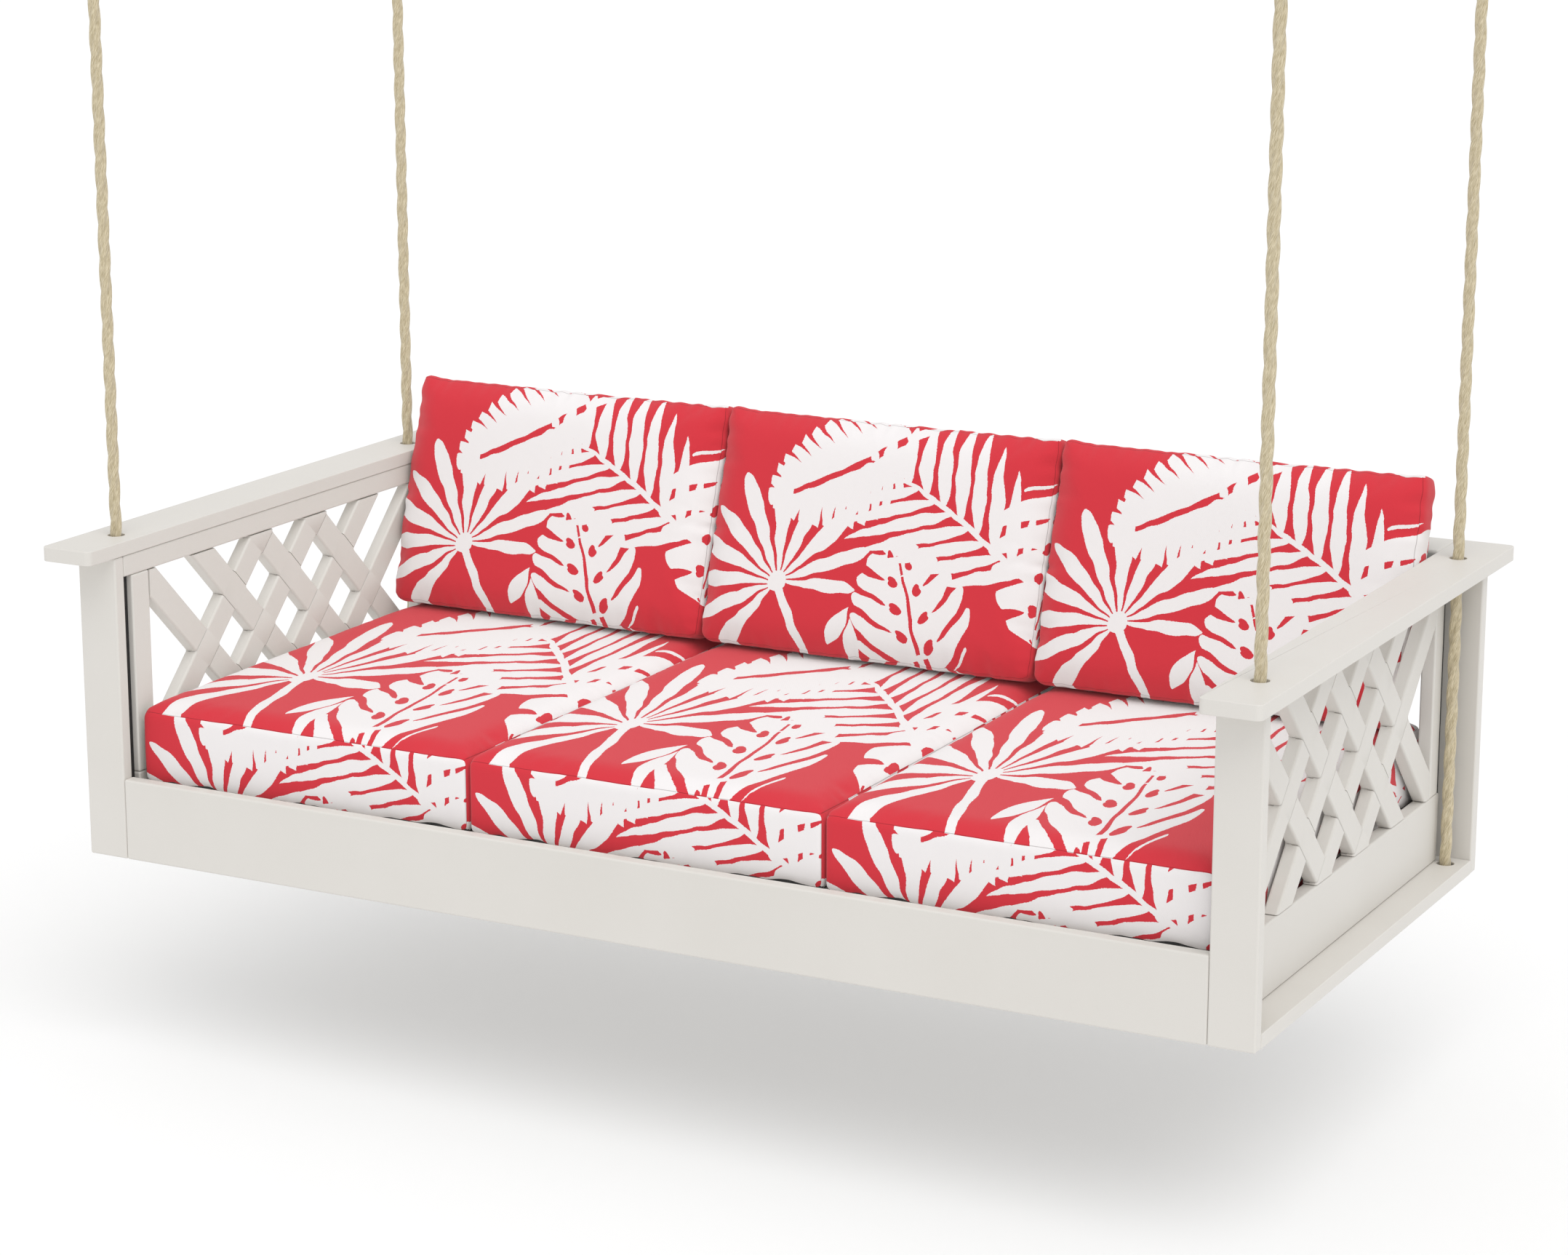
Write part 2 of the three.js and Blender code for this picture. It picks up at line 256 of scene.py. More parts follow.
def join_smooth(name, objects):
    """Joins the objects and smooths them, apart from their sharp edges."""
    whole = join(name, objects)
    bpy.ops.object.shade_smooth_by_angle(angle=SHARP_ANGLE)
    return whole


def start_box(name, low, high):
    low, high = Vector(low), Vector(high)
    bpy.ops.object.select_all(action="DESELECT")
    bpy.ops.mesh.primitive_cube_add(size=1, location=(low + high) / 2)
    box = bpy.context.object
    box.scale = high - low
    box.name = box.data.name = name
    return settle(box)


def start_rod(name, foot, head, radius, sides=32):
    """A round bar from foot to head."""
    foot, head = Vector(foot), Vector(head)
    bpy.ops.object.select_all(action="DESELECT")
    bpy.ops.mesh.primitive_cylinder_add(
        vertices=sides, radius=radius, depth=(head - foot).length, location=(foot + head) / 2
    )
    rod = bpy.context.object
    rod.rotation_mode = "QUATERNION"
    rod.rotation_quaternion = UP.rotation_difference(head - foot)
    rod.name = rod.data.name = name
    return settle(rod)


def ease_edges(obj, radius, segments=3):
    """Rounds the sharp edges and keeps the flat faces flat in the shading."""
    pick_only(obj)
    bpy.ops.object.shade_smooth()
    return modify(
        obj,
        "BEVEL",
        width=radius,
        segments=segments,
        limit_method="ANGLE",
        angle_limit=math.radians(30),
        harden_normals=True,
        use_clamp_overlap=True,
    )


def round_edges(obj, axis, radius, segments, chosen=lambda middle: True):
    """Rounds the edges that run along axis 0, 1 or 2 and whose middle is chosen."""
    pick_only(obj)
    bpy.ops.object.mode_set(mode="EDIT")
    bpy.ops.mesh.select_mode(type="EDGE")
    bpy.ops.mesh.select_all(action="DESELECT")
    bpy.ops.object.mode_set(mode="OBJECT")
    vertices = obj.data.vertices
    for edge in obj.data.edges:
        a, b = (vertices[v].co for v in edge.vertices)
        along = abs((b - a).normalized()[axis]) > 0.99
        edge.select = along and chosen((a + b) / 2)
    bpy.ops.object.mode_set(mode="EDIT")
    bpy.ops.mesh.bevel(offset=radius, segments=segments, affect="EDGES")
    bpy.ops.object.mode_set(mode="OBJECT")
    return obj


def cut(obj, cutter):
    modify(obj, "BOOLEAN", object=cutter, operation="DIFFERENCE", solver="EXACT")
    bpy.data.objects.remove(cutter)
    return obj


def clip(obj, point, outward):
    """Cuts away what lies beyond a plane and closes the cut."""
    pick_only(obj)
    bpy.ops.object.mode_set(mode="EDIT")
    bpy.ops.mesh.select_all(action="SELECT")
    bpy.ops.mesh.bisect(
        plane_co=point, plane_no=outward, use_fill=True, clear_outer=True, threshold=1e-6
    )
    bpy.ops.object.mode_set(mode="OBJECT")
    return obj


def finish_piece(obj, material, slot, body, *nodes):
    """Paints a piece, stands it in for its CAD nodes and lets it ride on a body."""
    obj.data.materials.clear()
    obj.data.materials.append(material)
    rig.slot(obj, slot)
    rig.ride(obj, body)
    if nodes:
        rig.replaces(obj, *nodes)
    return obj


# Numbers that vary over a surface -----------------------------------------------


class Field:
    """The output of a shader node, with the arithmetic that leaf outlines need."""

    def __init__(self, tree, socket):
        self.tree = tree
        self.socket = socket

    def math(self, operation, *others, clamp=False):
        node = self.tree.nodes.new("ShaderNodeMath")
        node.operation = operation
        node.use_clamp = clamp
        for place, value in enumerate((self, *others)):
            if isinstance(value, Field):
                self.tree.links.new(value.socket, node.inputs[place])
            else:
                node.inputs[place].default_value = value
        return Field(self.tree, node.outputs[0])

    def __add__(self, other):
        return self.math("ADD", other)

    def __sub__(self, other):
        return self.math("SUBTRACT", other)

    def __mul__(self, other):
        return self.math("MULTIPLY", other)

    def __truediv__(self, other):
        return self.math("DIVIDE", other)

    def __abs__(self):
        return self.math("ABSOLUTE")

    def __pow__(self, power):
        return self.math("POWER", power)

    def __lt__(self, other):
        return self.math("LESS_THAN", other)

    def __gt__(self, other):
        return self.math("GREATER_THAN", other)

    def __and__(self, other):
        return self * other

    def __or__(self, other):
        return self.math("MAXIMUM", other)

    def but_not(self, other):
        return self.math("SUBTRACT", other, clamp=True)

    def least(self, other):
        return self.math("MINIMUM", other)

    def most(self, other):
        return self.math("MAXIMUM", other)

    def fraction(self):
        return self.math("FRACT")

    def sine(self):
        return self.math("SINE")

    def clamped(self):
        return self.math("ADD", 0.0, clamp=True)

    def between(self, low, high):
        return (self > low) & (self < high)


def link(tree, source, target):
    tree.links.new(source, target)


def node(tree, kind, **settings):
    made = tree.nodes.new(kind)
    for name, value in settings.items():
        setattr(made, name, value)
    return made


def shader_group(name, inputs, outputs):
    """An empty node group with its sockets, and its input and output nodes."""
    group = bpy.data.node_groups.new(name, "ShaderNodeTree")
    for label, kind, value in inputs:
        socket = group.interface.new_socket(label, in_out="INPUT", socket_type=kind)
        if value is not None:
            socket.default_value = value
    for label, kind in outputs:
        group.interface.new_socket(label, in_out="OUTPUT", socket_type=kind)
    return group, group.nodes.new("NodeGroupInput"), group.nodes.new("NodeGroupOutput")


def place_group(tree, group, **values):
    made = node(tree, "ShaderNodeGroup", node_tree=group)
    for name, value in values.items():
        made.inputs[name].default_value = value
    return made


# Leaves of the print ------------------------------------------------------------
# Each leaf is drawn one unit long, from its foot at the origin along +Y.


def leaf_group(name, draw):
    group, start, end = shader_group(
        name, [("Vector", "NodeSocketVector", None)], [("Mask", "NodeSocketFloat")]
    )
    split = node(group, "ShaderNodeSeparateXYZ")
    link(group, start.outputs["Vector"], split.inputs[0])
    mask = draw(Field(group, split.outputs[0]), Field(group, split.outputs[1]))
    link(group, mask.socket, end.inputs["Mask"])
    return group


def draw_palm_frond(x, y):
    """Long narrow leaflets on both sides of a curved stem."""
    leaflets, slope = 9.0, 0.78
    x = x + y * y * 0.14
    side = abs(x)
    along = y - side * slope
    longest = (along * 2.3 + 0.75).sine().most(0.02) * 0.44
    reach = side / longest
    phase = abs((along * leaflets + (x > 0) * 0.5).fraction() - 0.5)
    half = (reach.clamped() ** 0.7 * math.pi).sine().most(0) ** 0.75 * 0.39
    leaflet = (phase < half) & (reach < 1) & along.between(0.0, 1.0)
    stem = (side < (y * -0.009 + 0.017)) & y.between(-0.12, 0.98)
    return leaflet | stem


def draw_fan_palm(x, y):
    """Pointed leaflets round a hub, and a stalk behind it."""
    step, spread = 0.40, 2.20
    radius = (x * x + y * y) ** 0.5
    angle = x.math("ARCTAN2", y)
    place = angle / step + 0.5
    uneven = (place.math("FLOOR") * 2.3).sine() * 0.09 + 0.91
    reach = radius / (uneven - angle * angle * 0.035)
    phase = abs(place.fraction() - 0.5)
    half = (reach ** 3.0 * -1 + 1).most(0) ** 0.7 * 0.35
    leaflet = (phase < half) & (abs(angle) < spread)
    hub = radius < 0.08
    stalk = (abs(x) < 0.034) & y.between(-0.62, 0.0)
    return leaflet | hub | stalk


def draw_paddle_leaf(x, y):
    """A broad torn leaf with its midrib left open."""
    tears = 11.5
    x = x + y * (y * -1 + 1) * 0.12
    side = abs(x)
    belly = ((y.clamped() ** 0.8 * math.pi).sine().most(0) ** 0.6) * 0.40
    along = y - side * 0.40 + (x > 0) * 0.04
    phase = (along * tears).fraction()
    edge = belly * (phase * -0.14 + 1.0)
    depth = (side / belly.most(0.001) - 0.48).most(0)
    tear = phase < depth * 0.85
    midrib = (side < (y * -0.014 + 0.026)) & y.between(0.03, 0.92)
    blade = ((side < edge) & y.between(0.0, 1.0)).but_not(tear).but_not(midrib)
    stem = (side < 0.030) & y.between(-0.30, 0.015)
    return blade | stem


def draw_split_leaf(x, y):
    """A heart-shaped leaf with lobes, holes beside the midrib and a long stalk."""
    lobes = 4.2
    x = x + y * y * 0.10
    side = abs(x)
    swell = (y - 0.42) / 0.58
    belly = (swell * swell * -1 + 1).most(0) ** 0.5 * (y * -0.18 + 0.60)
    along = y + 0.2 - side * (side * 0.9 + 0.30)
    phase = abs((along * lobes + (x > 0) * 0.45).fraction() - 0.5)
    from_notch = phase * -2 + 1
    lobe_end = from_notch * from_notch * -0.20 + 1
    reach = side / belly.most(0.001) / lobe_end
    notch = (reach > 0.46) & (phase < (reach - 0.46).most(0) ** 0.5 * 0.26)
    hole = ((phase / 0.20) ** 2.0 + ((reach - 0.25) / 0.11) ** 2.0) < 1.0
    cleft = (side < 0.07) & (y < 0.02)
    midrib = (side < (y * -0.012 + 0.020)) & y.between(0.04, 0.88)
    inside = (reach < 1.0) & y.between(-0.16, 1.0)
    blade = inside.but_not(notch).but_not(hole).but_not(midrib).but_not(cleft)
    stalk = (side < 0.026) & y.between(-0.45, 0.06)
    return blade | stalk


def draw_lance_leaf(x, y):
    """A plain pointed leaf."""
    edge = (y.clamped() ** 0.8 * math.pi).sine().most(0) * 0.19
    return (abs(x) < edge) & y.between(0.0, 1.0)


# Where each leaf lies on the cut panel: leaf, foot (across, up), turn in degrees
# from straight up (positive turns it to the left), and length.
PRINT_HEIGHT = 0.43
PRINT_LAYOUT = (
    ("palm_frond", (0.300, 0.170), 52, 0.36),
    ("fan_palm", (-0.165, 0.120), 25, 0.225),
    ("paddle_leaf", (0.050, 0.395), 118, 0.285),
    ("split_leaf", (0.120, 0.010), 14, 0.215),
    ("split_leaf", (0.380, 0.300), 160, 0.245),
    ("split_leaf", (0.270, -0.170), 34, 0.190),
    ("split_leaf", (-0.020, 0.520), -165, 0.120),
    ("lance_leaf", (-0.060, 0.020), -30, 0.080),
    ("lance_leaf", (-0.010, -0.010), 4, 0.080),
    ("lance_leaf", (-0.230, -0.060), 24, 0.090),
    ("lance_leaf", (0.250, 0.460), -120, 0.090),
)


def make_leaf_print():
    """White leaves on a ground, from panel coordinates in metres."""
    draws = {
        "palm_frond": draw_palm_frond,
        "fan_palm": draw_fan_palm,
        "paddle_leaf": draw_paddle_leaf,
        "split_leaf": draw_split_leaf,
        "lance_leaf": draw_lance_leaf,
    }
    leaves = {name: leaf_group(name, draw) for name, draw in draws.items()}
    group, start, end = shader_group(
        "leaf_print", [("Vector", "NodeSocketVector", None)], [("Leaves", "NodeSocketFloat")]
    )
    wander = hand_cut_edge(group, start.outputs["Vector"])
    whole = None
    for name, (across, up), turn, length in PRINT_LAYOUT:
        place = node(group, "ShaderNodeMapping", vector_type="TEXTURE")
        place.inputs["Location"].default_value = (across, up, 0)
        place.inputs["Rotation"].default_value = (0, 0, math.radians(turn))
        place.inputs["Scale"].default_value = (length, length, 1)
        link(group, wander, place.inputs["Vector"])
        leaf = place_group(group, leaves[name])
        link(group, place.outputs[0], leaf.inputs["Vector"])
        mask = Field(group, leaf.outputs["Mask"])
        whole = mask if whole is None else whole | mask
    link(group, whole.socket, end.inputs["Leaves"])
    return group


def hand_cut_edge(tree, vector):
    """The panel coordinates, nudged so that outlines look cut by hand."""
    for scale, reach in ((22.0, 0.010), (420.0, 0.0016)):
        grain = node(tree, "ShaderNodeTexNoise", noise_dimensions="2D")
        grain.inputs["Scale"].default_value = scale
        grain.inputs["Detail"].default_value = 1.0
        link(tree, vector, grain.inputs["Vector"])
        centred = node(tree, "ShaderNodeVectorMath", operation="SUBTRACT")
        centred.inputs[1].default_value = (0.5, 0.5, 0.5)
        link(tree, grain.outputs["Color"], centred.inputs[0])
        nudge = node(tree, "ShaderNodeVectorMath", operation="MULTIPLY_ADD")
        nudge.inputs[1].default_value = (reach, reach, 0)
        link(tree, centred.outputs[0], nudge.inputs[0])
        link(tree, vector, nudge.inputs[2])
        vector = nudge.outputs[0]
    return vector


# Shared surface effects -----------------------------------------------------------


def make_grain_group():
    """Fine noise and slow mottling: a colour factor and a height, from a vector."""
    group, start, end = shader_group(
        "grain",
        [
            ("Vector", "NodeSocketVector", None),
            ("Fine Scale", "NodeSocketFloat", 700.0),
            ("Mottle Scale", "NodeSocketFloat", 9.0),
        ],
        [("Mottle", "NodeSocketFloat"), ("Height", "NodeSocketFloat")],
    )
    for label, output, detail in (("Fine Scale", "Height", 2.0), ("Mottle Scale", "Mottle", 3.0)):
        texture = node(group, "ShaderNodeTexNoise")
        texture.inputs["Detail"].default_value = detail
        link(group, start.outputs["Vector"], texture.inputs["Vector"])
        link(group, start.outputs[label], texture.inputs["Scale"])
        link(group, texture.outputs["Fac"], end.inputs[output])
    return group


def make_weave_group():
    """Plain weave: over-and-under threads, from panel coordinates in metres."""
    group, start, end = shader_group(
        "weave",
        [("Vector", "NodeSocketVector", None), ("Thread", "NodeSocketFloat", 0.0007)],
        [("Height", "NodeSocketFloat")],
    )
    split = node(group, "ShaderNodeSeparateXYZ")
    link(group, start.outputs["Vector"], split.inputs[0])
    thread = Field(group, start.outputs["Thread"])
    across = Field(group, split.outputs[0]) / thread * math.pi
    up = Field(group, split.outputs[1]) / thread * math.pi
    height = (across.sine() * up.sine()) * 0.5 + 0.5
    link(group, height.socket, end.inputs["Height"])
    return group


def new_material(name, **settings):
    material = bpy.data.materials.new(name)
    material.use_nodes = True
    shader = material.node_tree.nodes["Principled BSDF"]
    for label, value in settings.items():
        shader.inputs[label.replace("_", " ")].default_value = value
    return material, material.node_tree, shader


def set_bump(tree, shader, height, strength, distance):
    bump = node(tree, "ShaderNodeBump")
    bump.inputs["Strength"].default_value = strength
    bump.inputs["Distance"].default_value = distance
    link(tree, height, bump.inputs["Height"])
    link(tree, bump.outputs[0], shader.inputs["Normal"])


def set_two_tones(tree, shader, factor, dark, light):
    ramp = node(tree, "ShaderNodeValToRGB")
    ramp.color_ramp.elements[0].position = 0.3
    ramp.color_ramp.elements[1].position = 0.7
    ramp.color_ramp.elements[0].color = (*dark, 1)
    ramp.color_ramp.elements[1].color = (*light, 1)
    link(tree, factor, ramp.inputs[0])
    link(tree, ramp.outputs[0], shader.inputs["Base Color"])


def object_coordinates(tree):
    return node(tree, "ShaderNodeTexCoord").outputs["Object"]


def grained_material(name, grain, dark, light, scales, bump, **settings):
    """A material with mottled colour and a fine grain in its surface."""
    material, tree, shader = new_material(name, **settings)
    texture = place_group(tree, grain, **{"Fine Scale": scales[0], "Mottle Scale": scales[1]})
    link(tree, object_coordinates(tree), texture.inputs["Vector"])
    tone = (
        Field(tree, texture.outputs["Mottle"]) * 0.5 + Field(tree, texture.outputs["Height"]) * 0.5
    )
    set_two_tones(tree, shader, tone.socket, dark, light)
    set_bump(tree, shader, texture.outputs["Height"], *bump)
    return material


def print_material(leaf_print, weave):
    """Red ground with off-white leaves, woven, with its seams drawn in."""
    material, tree, shader = new_material(
        "leaf_print_fabric", Roughness=0.88, Sheen_Weight=0.15, Specular_IOR_Level=0.2
    )
    uv = node(tree, "ShaderNodeUVMap", uv_map="panel").outputs[0]
    leaves = place_group(tree, leaf_print)
    link(tree, uv, leaves.inputs["Vector"])
    colours = node(tree, "ShaderNodeMix", data_type="RGBA")
    colours.inputs["A"].default_value = (0.655, 0.036, 0.052, 1)
    colours.inputs["B"].default_value = (0.86, 0.83, 0.83, 1)
    link(tree, leaves.outputs[0], colours.inputs["Factor"])
    seam = seam_line(tree)
    stitched = node(tree, "ShaderNodeMix", data_type="RGBA", blend_type="MULTIPLY")
    stitched.inputs["B"].default_value = (0.62, 0.60, 0.60, 1)
    link(tree, seam.socket, stitched.inputs["Factor"])
    link(tree, colours.outputs["Result"], stitched.inputs["A"])
    # Painted light: diffuse bounce rays see the cloth as mostly pale grey instead of red, so the boards beside the
    # cushions catch little pink light.
    bounced = node(tree, "ShaderNodeMix", data_type="RGBA")
    bounced.inputs["B"].default_value = (0.80, 0.78, 0.76, 1)
    rays = Field(tree, node(tree, "ShaderNodeLightPath").outputs["Is Diffuse Ray"]) * 0.85
    link(tree, rays.socket, bounced.inputs["Factor"])
    link(tree, stitched.outputs["Result"], bounced.inputs["A"])
    link(tree, bounced.outputs["Result"], shader.inputs["Base Color"])
    threads = place_group(tree, weave, Thread=0.0011)
    link(tree, uv, threads.inputs["Vector"])
    height = Field(tree, threads.outputs[0]) * 0.5 - seam * 1.5
    set_bump(tree, shader, height.socket, 0.5, 0.0004)
    return material


def seam_line(tree):
    """1 on the lines where the panels are sewn, from the piece's own attribute."""
    attribute = node(tree, "ShaderNodeAttribute", attribute_name="seam")
    split = node(tree, "ShaderNodeSeparateXYZ")
    link(tree, attribute.outputs["Vector"], split.inputs[0])
    nearest = None
    for output in split.outputs:
        distance = abs(Field(tree, output))
        nearest = distance if nearest is None else nearest.least(distance)
    return nearest < 0.0008


def backing_material(weave):
    """Charcoal mesh cloth on the undersides and backs."""
    material, tree, shader = new_material(
        "charcoal_backing", Base_Color=(0.028, 0.029, 0.032, 1), Roughness=0.9, Sheen_Weight=0.1
    )
    uv = node(tree, "ShaderNodeUVMap", uv_map="panel").outputs[0]
    threads = place_group(tree, weave, Thread=0.0016)
    link(tree, uv, threads.inputs["Vector"])
    set_two_tones(
        tree, shader, threads.outputs[0], (0.018, 0.018, 0.021), (0.045, 0.046, 0.050)
    )
    set_bump(tree, shader, threads.outputs[0], 0.6, 0.0005)
    return material


def rope_material():
    """Soft beige fibre: yarns laid against the twist of the strands."""
    material, tree, shader = new_material(
        "rope_fibre", Roughness=0.93, Sheen_Weight=0.3, Specular_IOR_Level=0.2
    )
    uv = node(tree, "ShaderNodeUVMap", uv_map="strand").outputs[0]
    yarn = node(tree, "ShaderNodeMapping")
    yarn.inputs["Rotation"].default_value = (0, 0, math.radians(28))
    yarn.inputs["Scale"].default_value = (1100, 90, 1)
    link(tree, uv, yarn.inputs["Vector"])
    fibres = node(tree, "ShaderNodeTexNoise", noise_dimensions="2D")
    fibres.inputs["Scale"].default_value = 1.0
    fibres.inputs["Detail"].default_value = 3.0
    link(tree, yarn.outputs[0], fibres.inputs["Vector"])
    set_two_tones(
        tree, shader, fibres.outputs["Fac"], (0.42, 0.345, 0.20), (0.80, 0.71, 0.52)
    )
    set_bump(tree, shader, fibres.outputs["Fac"], 0.9, 0.0009)
    return material


def make_materials():
    grain = make_grain_group()
    weave = make_weave_group()
    leaf_print = make_leaf_print()
    return {
        "lumber": grained_material(
            "off_white_lumber",
            grain,
            (0.700, 0.675, 0.632),
            (0.735, 0.711, 0.672),
            (1100, 5),
            (0.28, 0.0004),
            Roughness=0.48,
            Specular_IOR_Level=0.35,
        ),
        "black_steel": grained_material(
            "black_painted_steel",
            grain,
            (0.006, 0.006, 0.007),
            (0.014, 0.014, 0.016),
            (900, 30),
            (0.2, 0.0002),
            Roughness=0.38,
        ),
        "zinc_steel": grained_material(
            "zinc_plated_steel",
            grain,
            (0.38, 0.39, 0.40),
            (0.52, 0.53, 0.54),
            (1400, 60),
            (0.15, 0.0002),
            Roughness=0.34,
            Metallic=1.0,
        ),
        "print": print_material(leaf_print, weave),
        "backing": backing_material(weave),
        "rope": rope_material(),
    }


# Ropes ------------------------------------------------------------------------------

ROPE_DIAMETER = 0.020
ROPE_LAY = 0.165  # length of one full turn of a strand
STRANDS = 3
STRAND_RADIUS = 0.00585
STRAND_OFFSET = ROPE_DIAMETER / 2 - STRAND_RADIUS
RING_POINTS = 30
RING_STEP = 0.005
BEND_REACH = 0.025  # how far the rope's bend runs above and below its pivot


def rope_route(corner):
    """From under the bottom board, up to the mouth of the socket."""
    tail_low, tail_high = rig.box(f"rope_tail_{corner}")
    rope_low, rope_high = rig.box(f"rope_{corner}")
    middle = (rope_low + rope_high) / 2
    steps = 30
    rise = rope_high.z - tail_low.z
    return [(middle.x, middle.y, tail_low.z + rise * k / steps) for k in range(steps + 1)]


def strand_outline(turn):
    """Distance from the rope's middle to its surface; turn is 0 on a strand's crest."""
    across = STRAND_OFFSET * math.sin(turn)
    return STRAND_OFFSET * math.cos(turn) + math.sqrt(STRAND_RADIUS**2 - across**2)


def make_rope(corner, material):
    route = rope_route(corner)
    x, y, foot = route[0]
    length = route[-1][2] - foot
    rings = round(length / RING_STEP)
    arc = 2 * math.pi / STRANDS
    points, faces, uvs = [], [], []
    for ring in range(rings + 1):
        z = foot + length * ring / rings
        twist = -2 * math.pi * (z - foot) / ROPE_LAY
        for k in range(RING_POINTS):
            turn = 2 * math.pi * k / RING_POINTS
            crest = (turn + arc / 2) % arc - arc / 2
            slub = 1 + 0.03 * noise.noise(Vector((k // 10 * 7.3 + x, z * 40, y)))
            reach = strand_outline(crest) * slub
            angle = turn - twist
            points.append((x + reach * math.cos(angle), y + reach * math.sin(angle), z))
    for ring in range(rings):
        for k in range(RING_POINTS):
            a, b = ring * RING_POINTS + k, ring * RING_POINTS + (k + 1) % RING_POINTS
            faces.append((a, b, b + RING_POINTS, a + RING_POINTS))
            left, right = k / RING_POINTS, (k + 1) / RING_POINTS
            low, high = ring / rings, (ring + 1) / rings
            uvs += [(left, low), (right, low), (right, high), (left, high)]
    for ring, order in ((0, -1), (rings, 1)):
        face = [ring * RING_POINTS + k for k in range(RING_POINTS)][::order]
        faces.append(face)
        uvs += [(0.5, 0.5)] * RING_POINTS
    mesh = bpy.data.meshes.new(f"laid_rope_{corner}")
    mesh.from_pydata(points, [], faces)
    girth = math.pi * ROPE_DIAMETER
    layer = mesh.uv_layers.new(name="strand")
    layer.data.foreach_set("uv", [v for u, w in uvs for v in (u * girth, w * length)])
    mesh.polygons.foreach_set("use_smooth", [True] * len(faces))
    rope = bpy.data.objects.new(mesh.name, mesh)
    bpy.context.scene.collection.objects.link(rope)
    rope.data.materials.append(material)
    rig.slot(rope, "rope")
    return rope, route


def lay_rope(corner, material, socket):
    """Declares one rope, which bends where it leaves the arm."""
    rope, route = make_rope(corner, material)
    end = corner.split("_")[0]
    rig.replaces(rope, f"rope_{corner}", f"rope_tail_{corner}")
    bend = Vector(route[0])
    bend.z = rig.box(f"rope_{corner}")[0].z + ROPE_DIAMETER / 2
    reach = Vector((0, 0, BEND_REACH))
    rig.blend(rope, f"{end}_ropes", "seat", start=bend + reach, end=bend - reach)
    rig.cord(
        rope,
        exit=route[0],
        length=route[-1][2] - route[0][2],
        diameter=ROPE_DIAMETER,
        far_end="fitting",
        stiffness="medium",
        lay="taut",
        path=route,
        with_pieces=[socket],
    )


# Frame boards ----------------------------------------------------------------------

BOARD_EDGE = 0.0035
ARM_EDGE = 0.006
ARM_CORNER = 0.011
ROPE_HOLE = 0.028


def make_board(name, material, edge=BOARD_EDGE):
    low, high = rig.box(name)
    board = ease_edges(start_box(f"board_{name}", low, high), edge)
    return finish_piece(board, material, "lumber", "seat", name)


def rope_places(side):
    for end in ENDS:
        low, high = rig.box(f"rope_tail_{end}_{side}")
        yield (low + high) / 2


def drill_for_ropes(board, side):
    low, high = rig.box(f"rope_tail_front_{side}")
    for middle in rope_places(side):
        foot = (middle.x, middle.y, low.z - 0.05)
        head = (middle.x, middle.y, high.z + 0.05)
        cut(board, start_rod("drill", foot, head, ROPE_HOLE / 2, 40))
    return board


def make_arm(side, material):
    low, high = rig.box(f"arm_{side}")
    arm = round_edges(start_box(f"arm_rest_{side}", low, high), 2, ARM_CORNER, 6)
    ease_edges(drill_for_ropes(arm, side), ARM_EDGE, 4)
    return finish_piece(arm, material, "lumber", "seat", f"arm_{side}")


def make_bottom_board(side, material):
    low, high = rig.box(f"bottom_board_{side}")
    board = drill_for_ropes(start_box(f"foot_board_{side}", low, high), side)
    ease_edges(board, BOARD_EDGE)
    return finish_piece(board, material, "lumber", "seat", f"bottom_board_{side}")


def make_frame_boards(material):
    for side in SIDES:
        make_arm(side, material)
        make_bottom_board(side, material)
        for end in ENDS:
            make_board(f"post_{end}_{side}", material)
            make_board(f"stile_{end}_{side}", material)
        make_board(f"panel_top_rail_{side}", material)
        make_board(f"panel_bottom_rail_{side}", material)
    for name in ("front_rail", "back_rail", "back_top_rail"):
        make_board(name, material)
    make_board("back_top_board", material, ARM_EDGE)
    for k in range(1, 5):
        make_board(f"deck_board_{k}", material)
    for third in THIRDS:
        make_board(f"joist_{third}", material)


# Lattice ---------------------------------------------------------------------------
# A panel is made lying down: u along it, v up it and w through it, then stood up.

SLAT_WIDTH = 0.048
SLAT_EDGE = 0.0042
SLAT_CLEARANCE = 0.0015
LATTICE_RUN_PAST = 0.047
DIAGONAL = math.sqrt(2)


def ease_between(slat, crossings, reach):
    """Rounds the long edges of a slat, but leaves them square in its joints."""
    pick_only(slat)
    bpy.ops.object.mode_set(mode="EDIT")
    for middle in crossings:
        for end in (middle - reach, middle + reach):
            bpy.ops.mesh.select_all(action="SELECT")
            bpy.ops.mesh.bisect(plane_co=(end, 0, 0), plane_no=(1, 0, 0), threshold=1e-6)
    bpy.ops.object.mode_set(mode="OBJECT")

    def in_the_open(middle):
        return all(abs(middle.x - crossing) > reach for crossing in crossings)

    return round_edges(slat, 0, SLAT_EDGE, 3, in_the_open)


